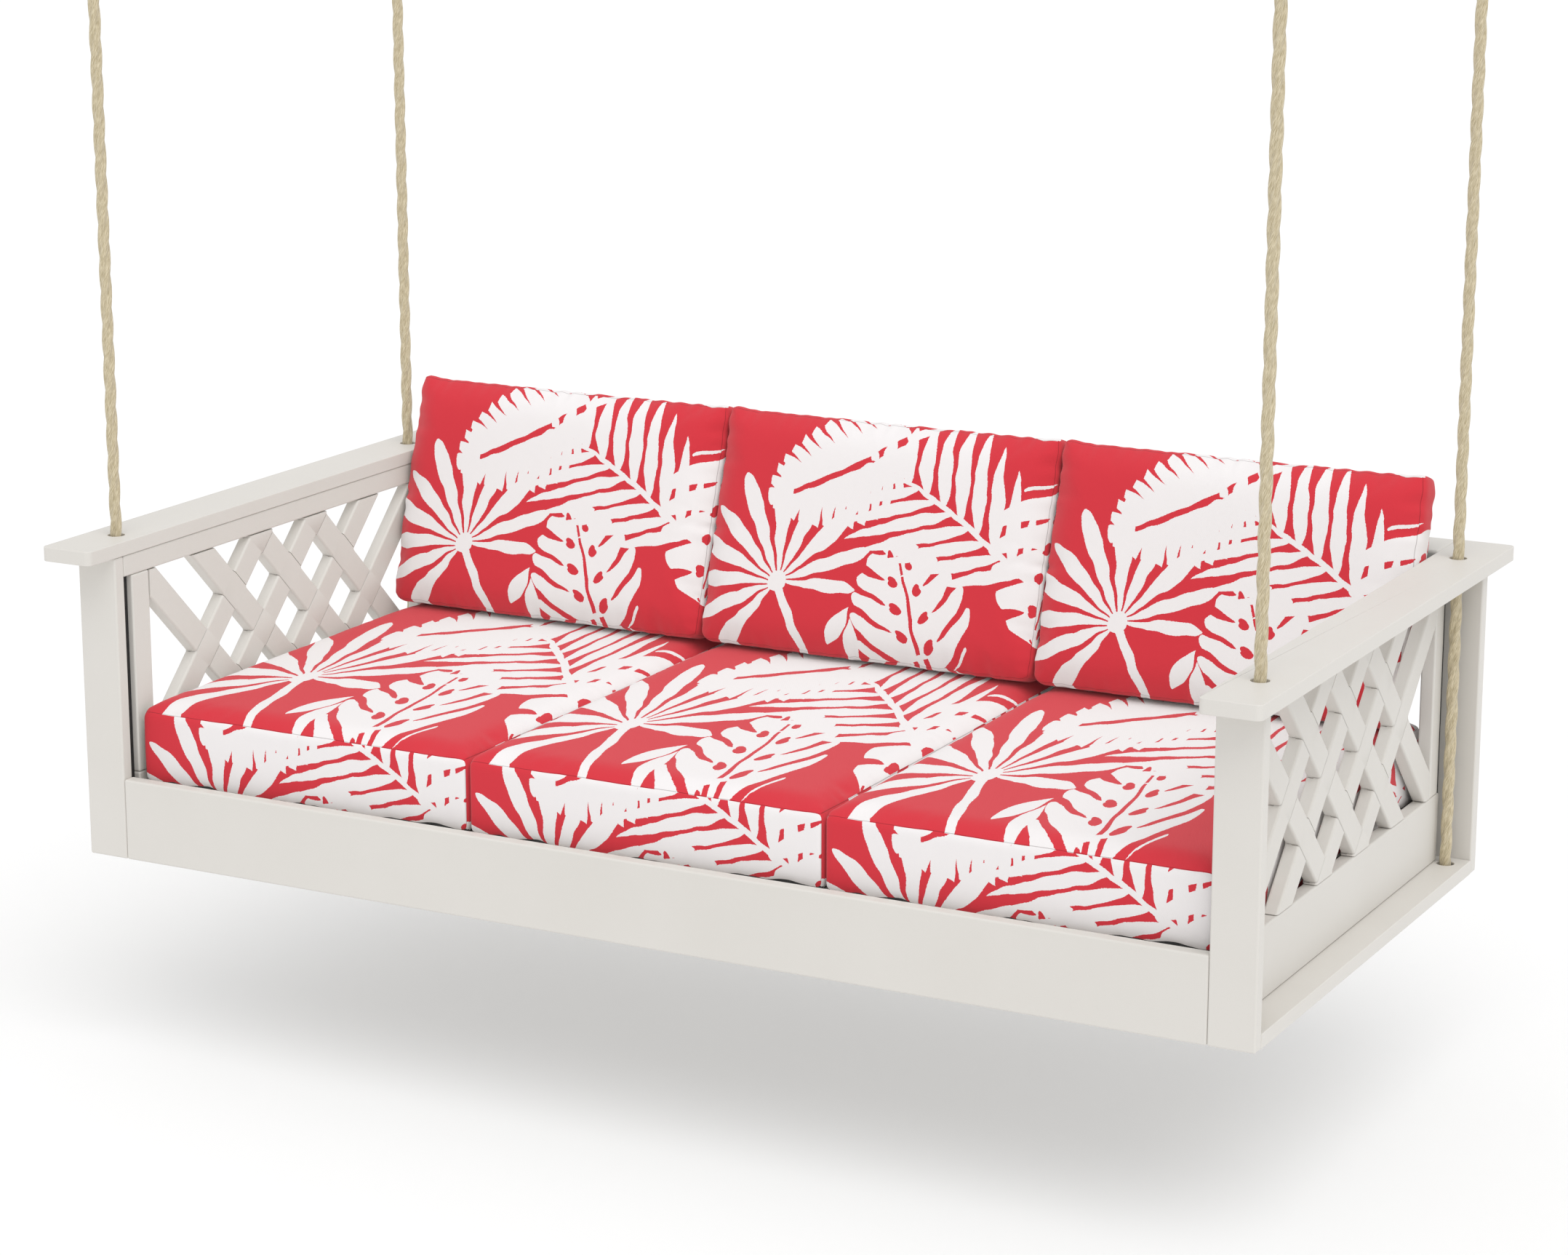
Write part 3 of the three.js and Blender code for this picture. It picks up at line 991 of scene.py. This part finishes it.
def make_slat(place, lean, crossings, size, thickness):
    """One slat with a half-depth notch at each crossing, trimmed to the opening.

    place is where its middle line meets the bottom of the opening, and lean is 1
    for a slat that runs up to the right and -1 for one that runs up to the left.
    crossings are (height of the crossing, whether this slat lies over there).
    """
    width, height = size
    half = SLAT_WIDTH / 2
    length = height * DIAGONAL + SLAT_WIDTH
    slat = start_box("slat", (-SLAT_WIDTH, -half, 0), (length, half, thickness))
    reach = half + SLAT_CLEARANCE
    notches = []
    for level, over in crossings:
        middle = level * DIAGONAL
        depth = (-thickness, thickness / 2) if over else (thickness / 2, 2 * thickness)
        low = (middle - reach, -2 * half, depth[0])
        notches.append(start_box("notch", low, (middle + reach, 2 * half, depth[1])))
    cut(slat, join("notches", notches))
    ease_between(slat, [level * DIAGONAL for level, over in crossings], reach)
    slat.matrix_world = Matrix.Translation((place, 0, 0)) @ Matrix.Rotation(
        math.radians(45 if lean > 0 else 135), 4, "Z"
    )
    settle(slat)
    gap = SLAT_CLEARANCE
    clip(slat, (gap, 0, 0), (-1, 0, 0))
    clip(slat, (width - gap, 0, 0), (1, 0, 0))
    clip(slat, (0, gap, 0), (0, -1, 0))
    return clip(slat, (0, height - gap, 0), (0, 1, 0))


def make_lattice(node_name, count, size, stand_up, material):
    width, height = size
    across = SLAT_WIDTH * DIAGONAL
    pitch = (width + 2 * LATTICE_RUN_PAST - height - across) / (count - 1)
    low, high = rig.box(node_name)
    thickness = min(high - low)
    slats = []
    for own in range(count):
        place = own * pitch - LATTICE_RUN_PAST + across / 2
        for lean in (1, -1):
            crossings = []
            for other in range(count):
                step = (other - own) * lean
                level = (height + step * pitch) / 2
                if -across / 2 < level < height + across / 2:
                    right_leaning_over = step % 2 == 0
                    crossings.append((level, right_leaning_over == (lean > 0)))
            foot = place if lean > 0 else place + height
            slats.append(make_slat(foot, lean, crossings, size, thickness))
    lattice = join(f"woven_{node_name}", slats)
    lattice.matrix_world = stand_up
    settle(lattice)
    bpy.ops.object.shade_smooth_by_angle(angle=SHARP_ANGLE)
    modify(lattice, "WEIGHTED_NORMAL", keep_sharp=True)
    return finish_piece(lattice, material, "lumber", "seat", node_name)


def make_lattices(material):
    for side in SIDES:
        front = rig.box(f"stile_front_{side}")[1].y
        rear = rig.box(f"stile_rear_{side}")[0].y
        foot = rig.box(f"panel_bottom_rail_{side}")[1].z
        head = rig.box(f"panel_top_rail_{side}")[0].z
        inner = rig.box(f"lattice_{side}")[0].x
        stand_up = Matrix(((0, 0, 1, inner), (1, 0, 0, front), (0, 1, 0, foot), (0, 0, 0, 1)))
        make_lattice(f"lattice_{side}", 4, (rear - front, head - foot), stand_up, material)
    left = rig.box("post_rear_left")[1].x
    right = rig.box("post_rear_right")[0].x
    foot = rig.box("back_rail")[1].z
    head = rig.box("back_top_rail")[0].z
    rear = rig.box("lattice_back")[1].y
    stand_up = Matrix(((1, 0, 0, left), (0, 0, -1, rear), (0, 1, 0, foot), (0, 0, 0, 1)))
    make_lattice("lattice_back", 11, (right - left, head - foot), stand_up, material)


# Cushions ---------------------------------------------------------------------------


def coordinates(mesh):
    flat = np.empty(len(mesh.vertices) * 3, np.float32)
    mesh.vertices.foreach_get("co", flat)
    return flat.reshape(-1, 3).astype(float)


def set_coordinates(mesh, places):
    mesh.vertices.foreach_set("co", places.astype(np.float32).ravel())
    mesh.update()


def write_attribute(mesh, name, kind, field, values):
    layer = mesh.attributes.get(name) or mesh.attributes.new(name, kind, "POINT")
    layer.data.foreach_set(field, values.astype(np.float32).ravel())


def read_vectors(mesh, name):
    flat = np.empty(len(mesh.vertices) * 3, np.float32)
    mesh.attributes[name].data.foreach_get("vector", flat)
    return flat.reshape(-1, 3).astype(float)


def cushion_form(name, size, corner, voxel, foot_radius):
    """A closed box of cloth round its own middle, remeshed evenly. foot_radius
    rounds the two low corners of a standing cushion."""
    half = Vector(size) / 2
    form = start_box(name, -half, half)
    if foot_radius:
        round_edges(form, 1, foot_radius, 5, lambda middle: middle.z < 0)
    ease_edges(form, corner, 4)
    modify(form, "REMESH", mode="VOXEL", voxel_size=voxel)
    write_attribute(form.data, "flat", "FLOAT_VECTOR", "vector", coordinates(form.data))
    return form


def swell(form, pressure, stiffness, frames=20):
    """Fills the form with air as cloth and returns how far each point moves."""
    scene = bpy.context.scene
    rest = coordinates(form.data)
    cloth = form.modifiers.new("cloth", "CLOTH")
    cloth.settings.quality = 6
    cloth.settings.use_pressure = True
    cloth.settings.uniform_pressure_force = pressure
    cloth.settings.tension_stiffness = stiffness
    cloth.settings.compression_stiffness = stiffness
    cloth.settings.bending_stiffness = 0.3
    cloth.settings.effector_weights.gravity = 0
    cloth.point_cache.frame_end = frames
    for f in range(1, frames + 1):
        scene.frame_set(f)
    filled = form.evaluated_get(bpy.context.evaluated_depsgraph_get())
    moved = coordinates(filled.data) - rest
    form.modifiers.remove(cloth)
    scene.frame_set(1)
    return rest, moved


def panel_weights(places, half):
    """How far each point is from each of the three pairs of panels."""
    return half - np.abs(places)


def seam_attribute(places, half, thin):
    """Signed distances from the two rims of the boxing and from its corner seams.
    thin is the axis that the boxing is wide along."""
    gap = panel_weights(places, half)
    across = [axis for axis in range(3) if axis != thin]
    sides = gap[:, across].min(1)
    depth = places[:, thin]
    far = np.where(depth > 0, half[thin] - depth - sides, 1.0)
    near = np.where(depth < 0, half[thin] + depth - sides, 1.0)
    corner = np.where(gap[:, thin] > 0.012, gap[:, across[0]] - gap[:, across[1]], 1.0)
    return np.stack([far, near, corner], 1)


def pucker_rims(form, size, thin, depth, reach):
    """Small gathers in the cloth beside the seams of the two large panels."""
    mesh = form.data
    gap = panel_weights(read_vectors(mesh, "flat"), np.array(size) / 2)
    places = read_vectors(mesh, "flat")
    first, second = [axis for axis in range(3) if axis != thin]
    from_rim = np.minimum(gap[:, first], gap[:, second]) + gap[:, thin]
    along = np.where(gap[:, first] < gap[:, second], places[:, second], places[:, first])
    long_waves = np.sin(along * 118 + 2.4 * np.sin(along * 31))
    short_waves = np.sin(along * 203 + 1.3 + 1.8 * np.sin(along * 47))
    shift = depth * (0.6 * long_waves + 0.4 * short_waves) * np.exp(-from_rim / reach)
    normals = np.empty(len(mesh.vertices) * 3, np.float32)
    mesh.vertices.foreach_get("normal", normals)
    set_coordinates(mesh, coordinates(mesh) + normals.reshape(-1, 3) * shift[:, None])


SIDE_SWELL = 0.0004  # past each side; neighbours stay 0.8 mm or more apart


def keep_width(form, half):
    """Holds the two sides back, so that neighbours in a row never meet."""
    held = coordinates(form.data)
    held[:, 0] = held[:, 0].clip(-half, half)
    set_coordinates(form.data, held)


def make_cushion_shape(
    name, size, corner, voxel, pressure, stiffness, caps, thin, puckers, foot_radius=0
):
    """The filled cushion round its own middle. caps are how far it may swell
    towards low and high x, y and z, and puckers are their depth and reach."""
    form = cushion_form(name, size, corner, voxel, foot_radius)
    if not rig.quick():
        rest, moved = swell(form, pressure, stiffness)
        low, high = (np.array(side, float) for side in caps)
        soft_low, soft_high = np.maximum(low, 1e-4), np.maximum(high, 1e-4)
        moved = np.where(
            moved > 0, soft_high * np.tanh(moved / soft_high), soft_low * np.tanh(moved / soft_low)
        )
        set_coordinates(form.data, rest + moved)
    modify(form, "SUBSURF", levels=1, render_levels=1)
    pucker_rims(form, size, thin, *puckers)
    keep_width(form, size[0] / 2 + SIDE_SWELL)
    pick_only(form)
    bpy.ops.object.shade_smooth()
    return form


def panel_of(centres, half):
    """For each face, the axis of its panel and the side that it's on."""
    gap = panel_weights(centres, half)
    axis = np.argmin(gap, 1)
    side = np.sign(centres[np.arange(len(centres)), axis])
    return axis, side


def lay_print(form, size, thin, map_panel, backing):
    """Gives each face its panel's UVs and its cloth. map_panel(axis, side, places)
    returns panel coordinates; backing(axis, side) says which faces are charcoal."""
    mesh = form.data
    half = np.array(size) / 2
    flat = read_vectors(mesh, "flat")
    corners = np.empty(len(mesh.loops), np.int32)
    mesh.loops.foreach_get("vertex_index", corners)
    totals = np.empty(len(mesh.polygons), np.int32)
    mesh.polygons.foreach_get("loop_total", totals)
    owner = np.repeat(np.arange(len(totals)), totals)
    centres = np.zeros((len(totals), 3))
    np.add.at(centres, owner, flat[corners])
    centres /= totals[:, None]
    axis, side = panel_of(centres, half)
    uv = map_panel(axis[owner], side[owner], flat[corners])
    mesh.uv_layers.new(name="panel").data.foreach_set("uv", uv.astype(np.float32).ravel())
    mesh.polygons.foreach_set("material_index", backing(axis, side).astype(np.int32))
    write_attribute(mesh, "seam", "FLOAT_VECTOR", "vector", seam_attribute(flat, half, thin))


def copy_cushion(form, name, material, backing, place, free_end, bulge):
    """A cushion of its own, put in its place by a matrix. free_end is -1, 0 or 1:
    the side without a neighbour, where the cushion bulges."""
    cushion = form.copy()
    cushion.data = form.data.copy()
    cushion.name = cushion.data.name = name
    bpy.context.scene.collection.objects.link(cushion)
    if free_end:
        flat = read_vectors(cushion.data, "flat")
        outward = (flat[:, 0] * free_end / flat[:, 0].max()).clip(0, 1) ** 3
        sides = np.cos(flat[:, 1:] / flat[:, 1:].max(0) * 1.2).prod(1)
        bulged = coordinates(cushion.data)
        bulged[:, 0] += free_end * bulge * outward * sides
        set_coordinates(cushion.data, bulged)
    cushion.data.transform(place)
    cushion.data.materials.append(material)
    cushion.data.materials.append(backing)
    return cushion


SEAT_VOXEL = 0.009
SEAT_CORNER = 0.007
SEAT_CROWN = 0.016
SEAT_DEPTH_EASE = 0.010  # left free for the swelling at front and rear
SEAT_DEPTH_SWELL = 0.004
SEAT_PUCKERS = (0.0009, 0.014)
SEAT_BULGE = 0.007
SEAT_BAND_START = 0.235  # where on the print the boxing is cut


def make_seat_cushions(materials):
    low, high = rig.box("seat_cushion_middle")
    width = high.x - low.x + SIDE_SWELL
    size = Vector((width, high.y - low.y - SEAT_DEPTH_EASE, high.z - low.z - SEAT_CROWN))
    form = make_cushion_shape(
        "seat_form",
        size,
        SEAT_CORNER,
        SEAT_VOXEL,
        pressure=4.0,
        stiffness=15.0,
        caps=((SIDE_SWELL, SEAT_DEPTH_SWELL, 0.0), (SIDE_SWELL, SEAT_DEPTH_SWELL, SEAT_CROWN)),
        thin=2,
        puckers=SEAT_PUCKERS,
    )
    stretch = PRINT_HEIGHT / size.y

    def map_panel(axis, side, places):
        x, y, z = places.T
        top = np.stack([x, (y + size.y / 2) * stretch], 1)
        end_band = np.stack([x * -side, z + SEAT_BAND_START], 1)
        side_band = np.stack([y * side * 0.7, z + SEAT_BAND_START], 1)
        return np.where(axis[:, None] == 2, top, np.where(axis[:, None] == 1, end_band, side_band))

    lay_print(form, size, 2, map_panel, lambda axis, side: (axis == 2) & (side < 0))
    for third in THIRDS:
        low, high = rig.box(f"seat_cushion_{third}")
        middle = (low + high) / 2
        middle.z = low.z + size.z / 2
        cushion = copy_cushion(
            form,
            f"padded_seat_cushion_{third}",
            materials["print"],
            materials["backing"],
            Matrix.Translation(middle),
            THIRDS.index(third) - 1,
            SEAT_BULGE,
        )
        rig.slot(cushion, "printed_fabric")
        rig.ride(cushion, "seat")
        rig.replaces(cushion, f"seat_cushion_{third}")
        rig.padded(cushion, fill=0.9)
    bpy.data.objects.remove(form)


BACK_VOXEL = 0.007
BACK_LEAN = math.radians(16.8)
BACK_THICKNESS = 0.066
BACK_HEIGHT = 0.420
BACK_CORNER = 0.010
BACK_FOOT_CORNER = 0.022
BACK_FOOT_PLACE = (0.003, 0.008)  # behind and above the low front of the CAD cushion
BACK_SWELL = (0.030, 0.024)  # of the front and the rear panel
BACK_HEIGHT_SWELL = 0.003
BACK_PUCKERS = (0.0022, 0.020)
BACK_BULGE = 0.008
BACK_EARS = 0.006


def lift_top_corners(form, size):
    """Draws the two top corners out into little ears."""
    places = read_vectors(form.data, "flat")
    aside = np.abs(places[:, 0]) / (size.x / 2)
    up = (places[:, 2] / size.z + 0.5).clip(0, 1)
    lifted = coordinates(form.data)
    lifted[:, 2] += BACK_EARS * aside**14 * up**10
    set_coordinates(form.data, lifted)


def make_back_cushions(materials):
    low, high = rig.box("back_cushion_middle")
    size = Vector((high.x - low.x + SIDE_SWELL, BACK_THICKNESS, BACK_HEIGHT))
    front_swell, rear_swell = BACK_SWELL
    form = make_cushion_shape(
        "back_form",
        size,
        BACK_CORNER,
        BACK_VOXEL,
        pressure=4.0,
        stiffness=12.0,
        caps=(
            (SIDE_SWELL, front_swell, BACK_HEIGHT_SWELL),
            (SIDE_SWELL, rear_swell, BACK_HEIGHT_SWELL),
        ),
        thin=1,
        puckers=BACK_PUCKERS,
        foot_radius=BACK_FOOT_CORNER,
    )
    lift_top_corners(form, size)

    def map_panel(axis, side, places):
        x, y, z = places.T
        up = z + size.z / 2
        face = np.stack([x, up], 1)
        top = np.stack([x, up + y + size.y / 2], 1)
        ends = np.stack([x + (y + size.y / 2) * side, up], 1)
        return np.where(axis[:, None] == 1, face, np.where(axis[:, None] == 2, top, ends))

    lay_print(form, size, 1, map_panel, lambda axis, side: (axis == 1) & (side > 0))
    for third in THIRDS:
        low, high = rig.box(f"back_cushion_{third}")
        back, up = BACK_FOOT_PLACE
        foot = Vector(((low.x + high.x) / 2, low.y + back, low.z + up))
        place = (
            Matrix.Translation(foot)
            @ Matrix.Rotation(-BACK_LEAN, 4, "X")
            @ Matrix.Translation((0, size.y / 2, size.z / 2))
        )
        cushion = copy_cushion(
            form,
            f"padded_back_cushion_{third}",
            materials["print"],
            materials["backing"],
            place,
            THIRDS.index(third) - 1,
            BACK_BULGE,
        )
        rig.slot(cushion, "printed_fabric")
        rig.ride(cushion, "seat")
        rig.replaces(cushion, f"back_cushion_{third}")
        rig.padded(cushion, fill=0.75)
    bpy.data.objects.remove(form)


# Steel -----------------------------------------------------------------------------

PLATE_THICKNESS = 0.008
PLATE_CORNER = 0.010
PLATE_EDGE = 0.0012
CEILING_SCREW_REACH = 0.033  # from the middle of the plate, both ways
CEILING_SCREW_RADIUS = 0.0065
EAR_REACH = (0.009, 0.015)  # inner and outer faces of the ears, from the middle
EAR_HALF_DEPTH = 0.015
EAR_CORNER = 0.013
PIN_DROP = 0.050  # ceiling to the middle of the pin
PIN_RADIUS = 0.005
PIN_HALF_LENGTH = 0.018
PIN_HEAD_RADIUS = 0.0085
PIN_HEAD_END = 0.020
THIN_STEEL_EDGE = 0.0008
EYE_RADIUS = 0.017
EYE_HALF_WIDTH = 0.006
EYE_BORE_RADIUS = 0.0065
EYE_EDGE = 0.0015
NECK_RADII = (0.0125, 0.006)
NECK_LENGTH = 0.018
NECK_RISE = 0.008  # of its middle above the ferrule
FERRULE_RADIUS = 0.015
FERRULE_LENGTH = 0.034
FERRULE_EDGE = 0.002
FERRULE_CRIMPS = (0.009, 0.017, 0.025)  # heights above the mouth
CRIMP_RADIUS = 0.0018
CRIMP_SINK = 0.0004
WASHER_RADIUS = 0.024
WASHER_THICKNESS = 0.003
STOP_FERRULE_DROP = 0.002  # of its top below the board
STOP_CRIMP = 0.0055
STRIP_EDGE = 0.0006
STRIP_SCREWS = (0.12, 0.5, 0.88)  # shares of its height
STRIP_SCREW_RADIUS = 0.0042


def screw_head(place, outward, radius):
    """A low round head with a cross in it."""
    place, outward = Vector(place), Vector(outward)
    head = start_rod("screw", place, place + outward * radius * 0.45, radius, 20)
    ease_edges(head, radius * 0.3, 3)
    across = outward.orthogonal()
    for arm in (across, outward.cross(across)):
        reach = arm * radius * 0.6 + outward * radius * 0.3
        slot_middle = place + outward * radius * 0.5
        thin = outward.cross(arm) * radius * 0.1
        corners = (reach + thin, -reach - thin)
        low = [min(c[k] for c in corners) for k in range(3)]
        high = [max(c[k] for c in corners) for k in range(3)]
        cut(head, start_box("cross", slot_middle + Vector(low), slot_middle + Vector(high)))
    return head


def crimp_rings(x, y, heights):
    """The ridges that the crimping tool leaves round a ferrule."""
    for z in heights:
        bpy.ops.object.select_all(action="DESELECT")
        bpy.ops.mesh.primitive_torus_add(
            major_radius=FERRULE_RADIUS - CRIMP_SINK,
            minor_radius=CRIMP_RADIUS,
            major_segments=40,
            minor_segments=10,
            location=(x, y, z),
        )
        yield settle(bpy.context.object)


def make_hanger(corner, material):
    """A plate screwed to the ceiling, two ears and the pin between them."""
    low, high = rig.box(f"ceiling_hanger_{corner}")
    x, y, _ = (low + high) / 2
    pin = high.z - PIN_DROP
    plate = start_box("plate", (low.x, low.y, high.z - PLATE_THICKNESS), high)
    pieces = [ease_edges(round_edges(plate, 2, PLATE_CORNER, 5), PLATE_EDGE)]
    for side in (-1, 1):
        a, b = (x + side * reach for reach in EAR_REACH)
        foot = (min(a, b), y - EAR_HALF_DEPTH, low.z)
        head = (max(a, b), y + EAR_HALF_DEPTH, high.z - PLATE_THICKNESS / 2)
        ear = start_box("ear", foot, head)
        round_edges(ear, 0, EAR_CORNER, 6, lambda middle: middle.z < pin)
        pieces.append(ease_edges(ear, THIN_STEEL_EDGE))
        end = x + side * PIN_HEAD_END
        pin_head = start_rod("pin_head", (b, y, pin), (end, y, pin), PIN_HEAD_RADIUS, 6)
        pieces.append(ease_edges(pin_head, THIN_STEEL_EDGE))
        for front in (-1, 1):
            along, across = side * CEILING_SCREW_REACH, front * CEILING_SCREW_REACH
            place = (x + along, y + across, high.z - PLATE_THICKNESS)
            pieces.append(screw_head(place, (0, 0, -1), CEILING_SCREW_RADIUS))
    ends = ((x - PIN_HALF_LENGTH, y, pin), (x + PIN_HALF_LENGTH, y, pin))
    pieces.append(start_rod("pin", *ends, PIN_RADIUS))
    hanger = join_smooth(f"hanger_bracket_{corner}", pieces)
    return finish_piece(
        hanger, material, "zinc_steel", "ceiling_hangers", f"ceiling_hanger_{corner}"
    )


def make_socket(corner, material):
    """A crimped ferrule on the rope's end, with the eye that turns on the pin."""
    low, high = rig.box(f"rope_socket_{corner}")
    x, y, _ = (low + high) / 2
    pin = high.z - EYE_RADIUS
    mouth = low.z
    shoulder = mouth + FERRULE_LENGTH
    ferrule = start_rod("ferrule", (x, y, mouth), (x, y, shoulder), FERRULE_RADIUS, 40)
    ease_edges(ferrule, FERRULE_EDGE, 4)
    rings = list(crimp_rings(x, y, [mouth + rise for rise in FERRULE_CRIMPS]))
    bpy.ops.object.select_all(action="DESELECT")
    bpy.ops.mesh.primitive_cone_add(
        vertices=40,
        radius1=NECK_RADII[0],
        radius2=NECK_RADII[1],
        depth=NECK_LENGTH,
        location=(x, y, shoulder + NECK_RISE),
    )
    neck = settle(bpy.context.object)
    faces = ((x - EYE_HALF_WIDTH, y, pin), (x + EYE_HALF_WIDTH, y, pin))
    eye = start_rod("eye", *faces, EYE_RADIUS, 48)
    cut(eye, start_rod("bore", (x - 0.02, y, pin), (x + 0.02, y, pin), EYE_BORE_RADIUS, 32))
    ease_edges(eye, EYE_EDGE, 3)
    socket = join_smooth(f"rope_ferrule_{corner}", [*rings, ferrule, neck, eye])
    body = f"{corner.split('_')[0]}_ropes"
    return finish_piece(socket, material, "zinc_steel", body, f"rope_socket_{corner}")


def make_rope_stop(corner, material):
    """The washer and crimped end that hold the rope under the bottom board."""
    low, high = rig.box(f"rope_stop_{corner}")
    x, y, _ = (low + high) / 2
    under = (x, y, high.z - WASHER_THICKNESS)
    washer = start_rod("washer", under, (x, y, high.z), WASHER_RADIUS, 48)
    ease_edges(washer, THIN_STEEL_EDGE)
    top = (x, y, high.z - STOP_FERRULE_DROP)
    ferrule = start_rod("ferrule", (x, y, low.z), top, FERRULE_RADIUS, 40)
    ease_edges(ferrule, FERRULE_EDGE, 4)
    rings = list(crimp_rings(x, y, [low.z + STOP_CRIMP]))
    stop = join_smooth(f"rope_end_stop_{corner}", [*rings, washer, ferrule])
    return finish_piece(stop, material, "zinc_steel", "seat", f"rope_stop_{corner}")


def make_tie_strip(corner, material):
    """A flat black strip in the slot between a post and its panel, screwed on."""
    name = f"tie_strip_{corner}"
    low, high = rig.box(name)
    middle = (low + high) / 2
    inward = -1 if middle.x > 0 else 1
    face = low.x if inward < 0 else high.x
    pieces = [ease_edges(start_box("strip", low, high), STRIP_EDGE)]
    for share in STRIP_SCREWS:
        place = (face, middle.y, low.z + (high.z - low.z) * share)
        pieces.append(screw_head(place, (inward, 0, 0), STRIP_SCREW_RADIUS))
    strip = join_smooth(f"screwed_{name}", pieces)
    return finish_piece(strip, material, "black_steel", "seat", name)


# Floor and light ---------------------------------------------------------------------

FLOOR_DROP = 0.33  # below the bottom of the posts
FLOOR_GLOW = 0.30  # lifts the shadow to a pale grey
WORLD_STRENGTH = 0.78
KEY_STRENGTH = 1.15
KEY_SPREAD = 50  # degrees
KEY_FROM = (0.42, -0.42, 1.0)


def make_floor():
    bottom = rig.box("post_front_left")[0].z
    bpy.ops.object.select_all(action="DESELECT")
    bpy.ops.mesh.primitive_plane_add(size=60, location=(0, 0, bottom - FLOOR_DROP))
    floor = bpy.context.object
    floor.name = "floor"
    material = new_material(
        "pale_floor",
        Base_Color=(0.67, 0.67, 0.67, 1),
        Roughness=0.9,
        Specular_IOR_Level=0.0,
        Emission_Color=(1, 1, 1, 1),
        Emission_Strength=FLOOR_GLOW,
    )[0]
    floor.data.materials.append(material)
    settle(floor)
    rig.stage(floor)


def make_light():
    world = bpy.data.worlds.new("studio")
    bpy.context.scene.world = world
    world.use_nodes = True
    background = world.node_tree.nodes["Background"]
    background.inputs["Color"].default_value = (1.0, 1.0, 1.0, 1)
    background.inputs["Strength"].default_value = WORLD_STRENGTH
    data = bpy.data.lights.new("soft_sky_light", "SUN")
    data.energy = KEY_STRENGTH
    data.angle = math.radians(KEY_SPREAD)
    light = bpy.data.objects.new("soft_sky_light", data)
    light.rotation_mode = "QUATERNION"
    light.rotation_quaternion = Vector(KEY_FROM).to_track_quat("Z", "Y")
    bpy.context.scene.collection.objects.link(light)


# Assembly ---------------------------------------------------------------------------


def write_sizes():
    boxes = {"cad": cad_box, "visual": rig.bounds()}
    plain = {name: [list(corner) for corner in box] for name, box in boxes.items()}
    with open("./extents.json", "w") as f:
        json.dump(plain, f)


bpy.context.scene.view_settings.view_transform = "Standard"
make_camera()
materials = make_materials()
for side in SIDES:
    for end in ENDS:
        corner = f"{end}_{side}"
        make_hanger(corner, materials["zinc_steel"])
        make_rope_stop(corner, materials["zinc_steel"])
        make_tie_strip(corner, materials["black_steel"])
        lay_rope(corner, materials["rope"], make_socket(corner, materials["zinc_steel"]))
make_frame_boards(materials["lumber"])
make_lattices(materials["lumber"])
make_seat_cushions(materials)
make_back_cushions(materials)
make_floor()
make_light()
write_sizes()
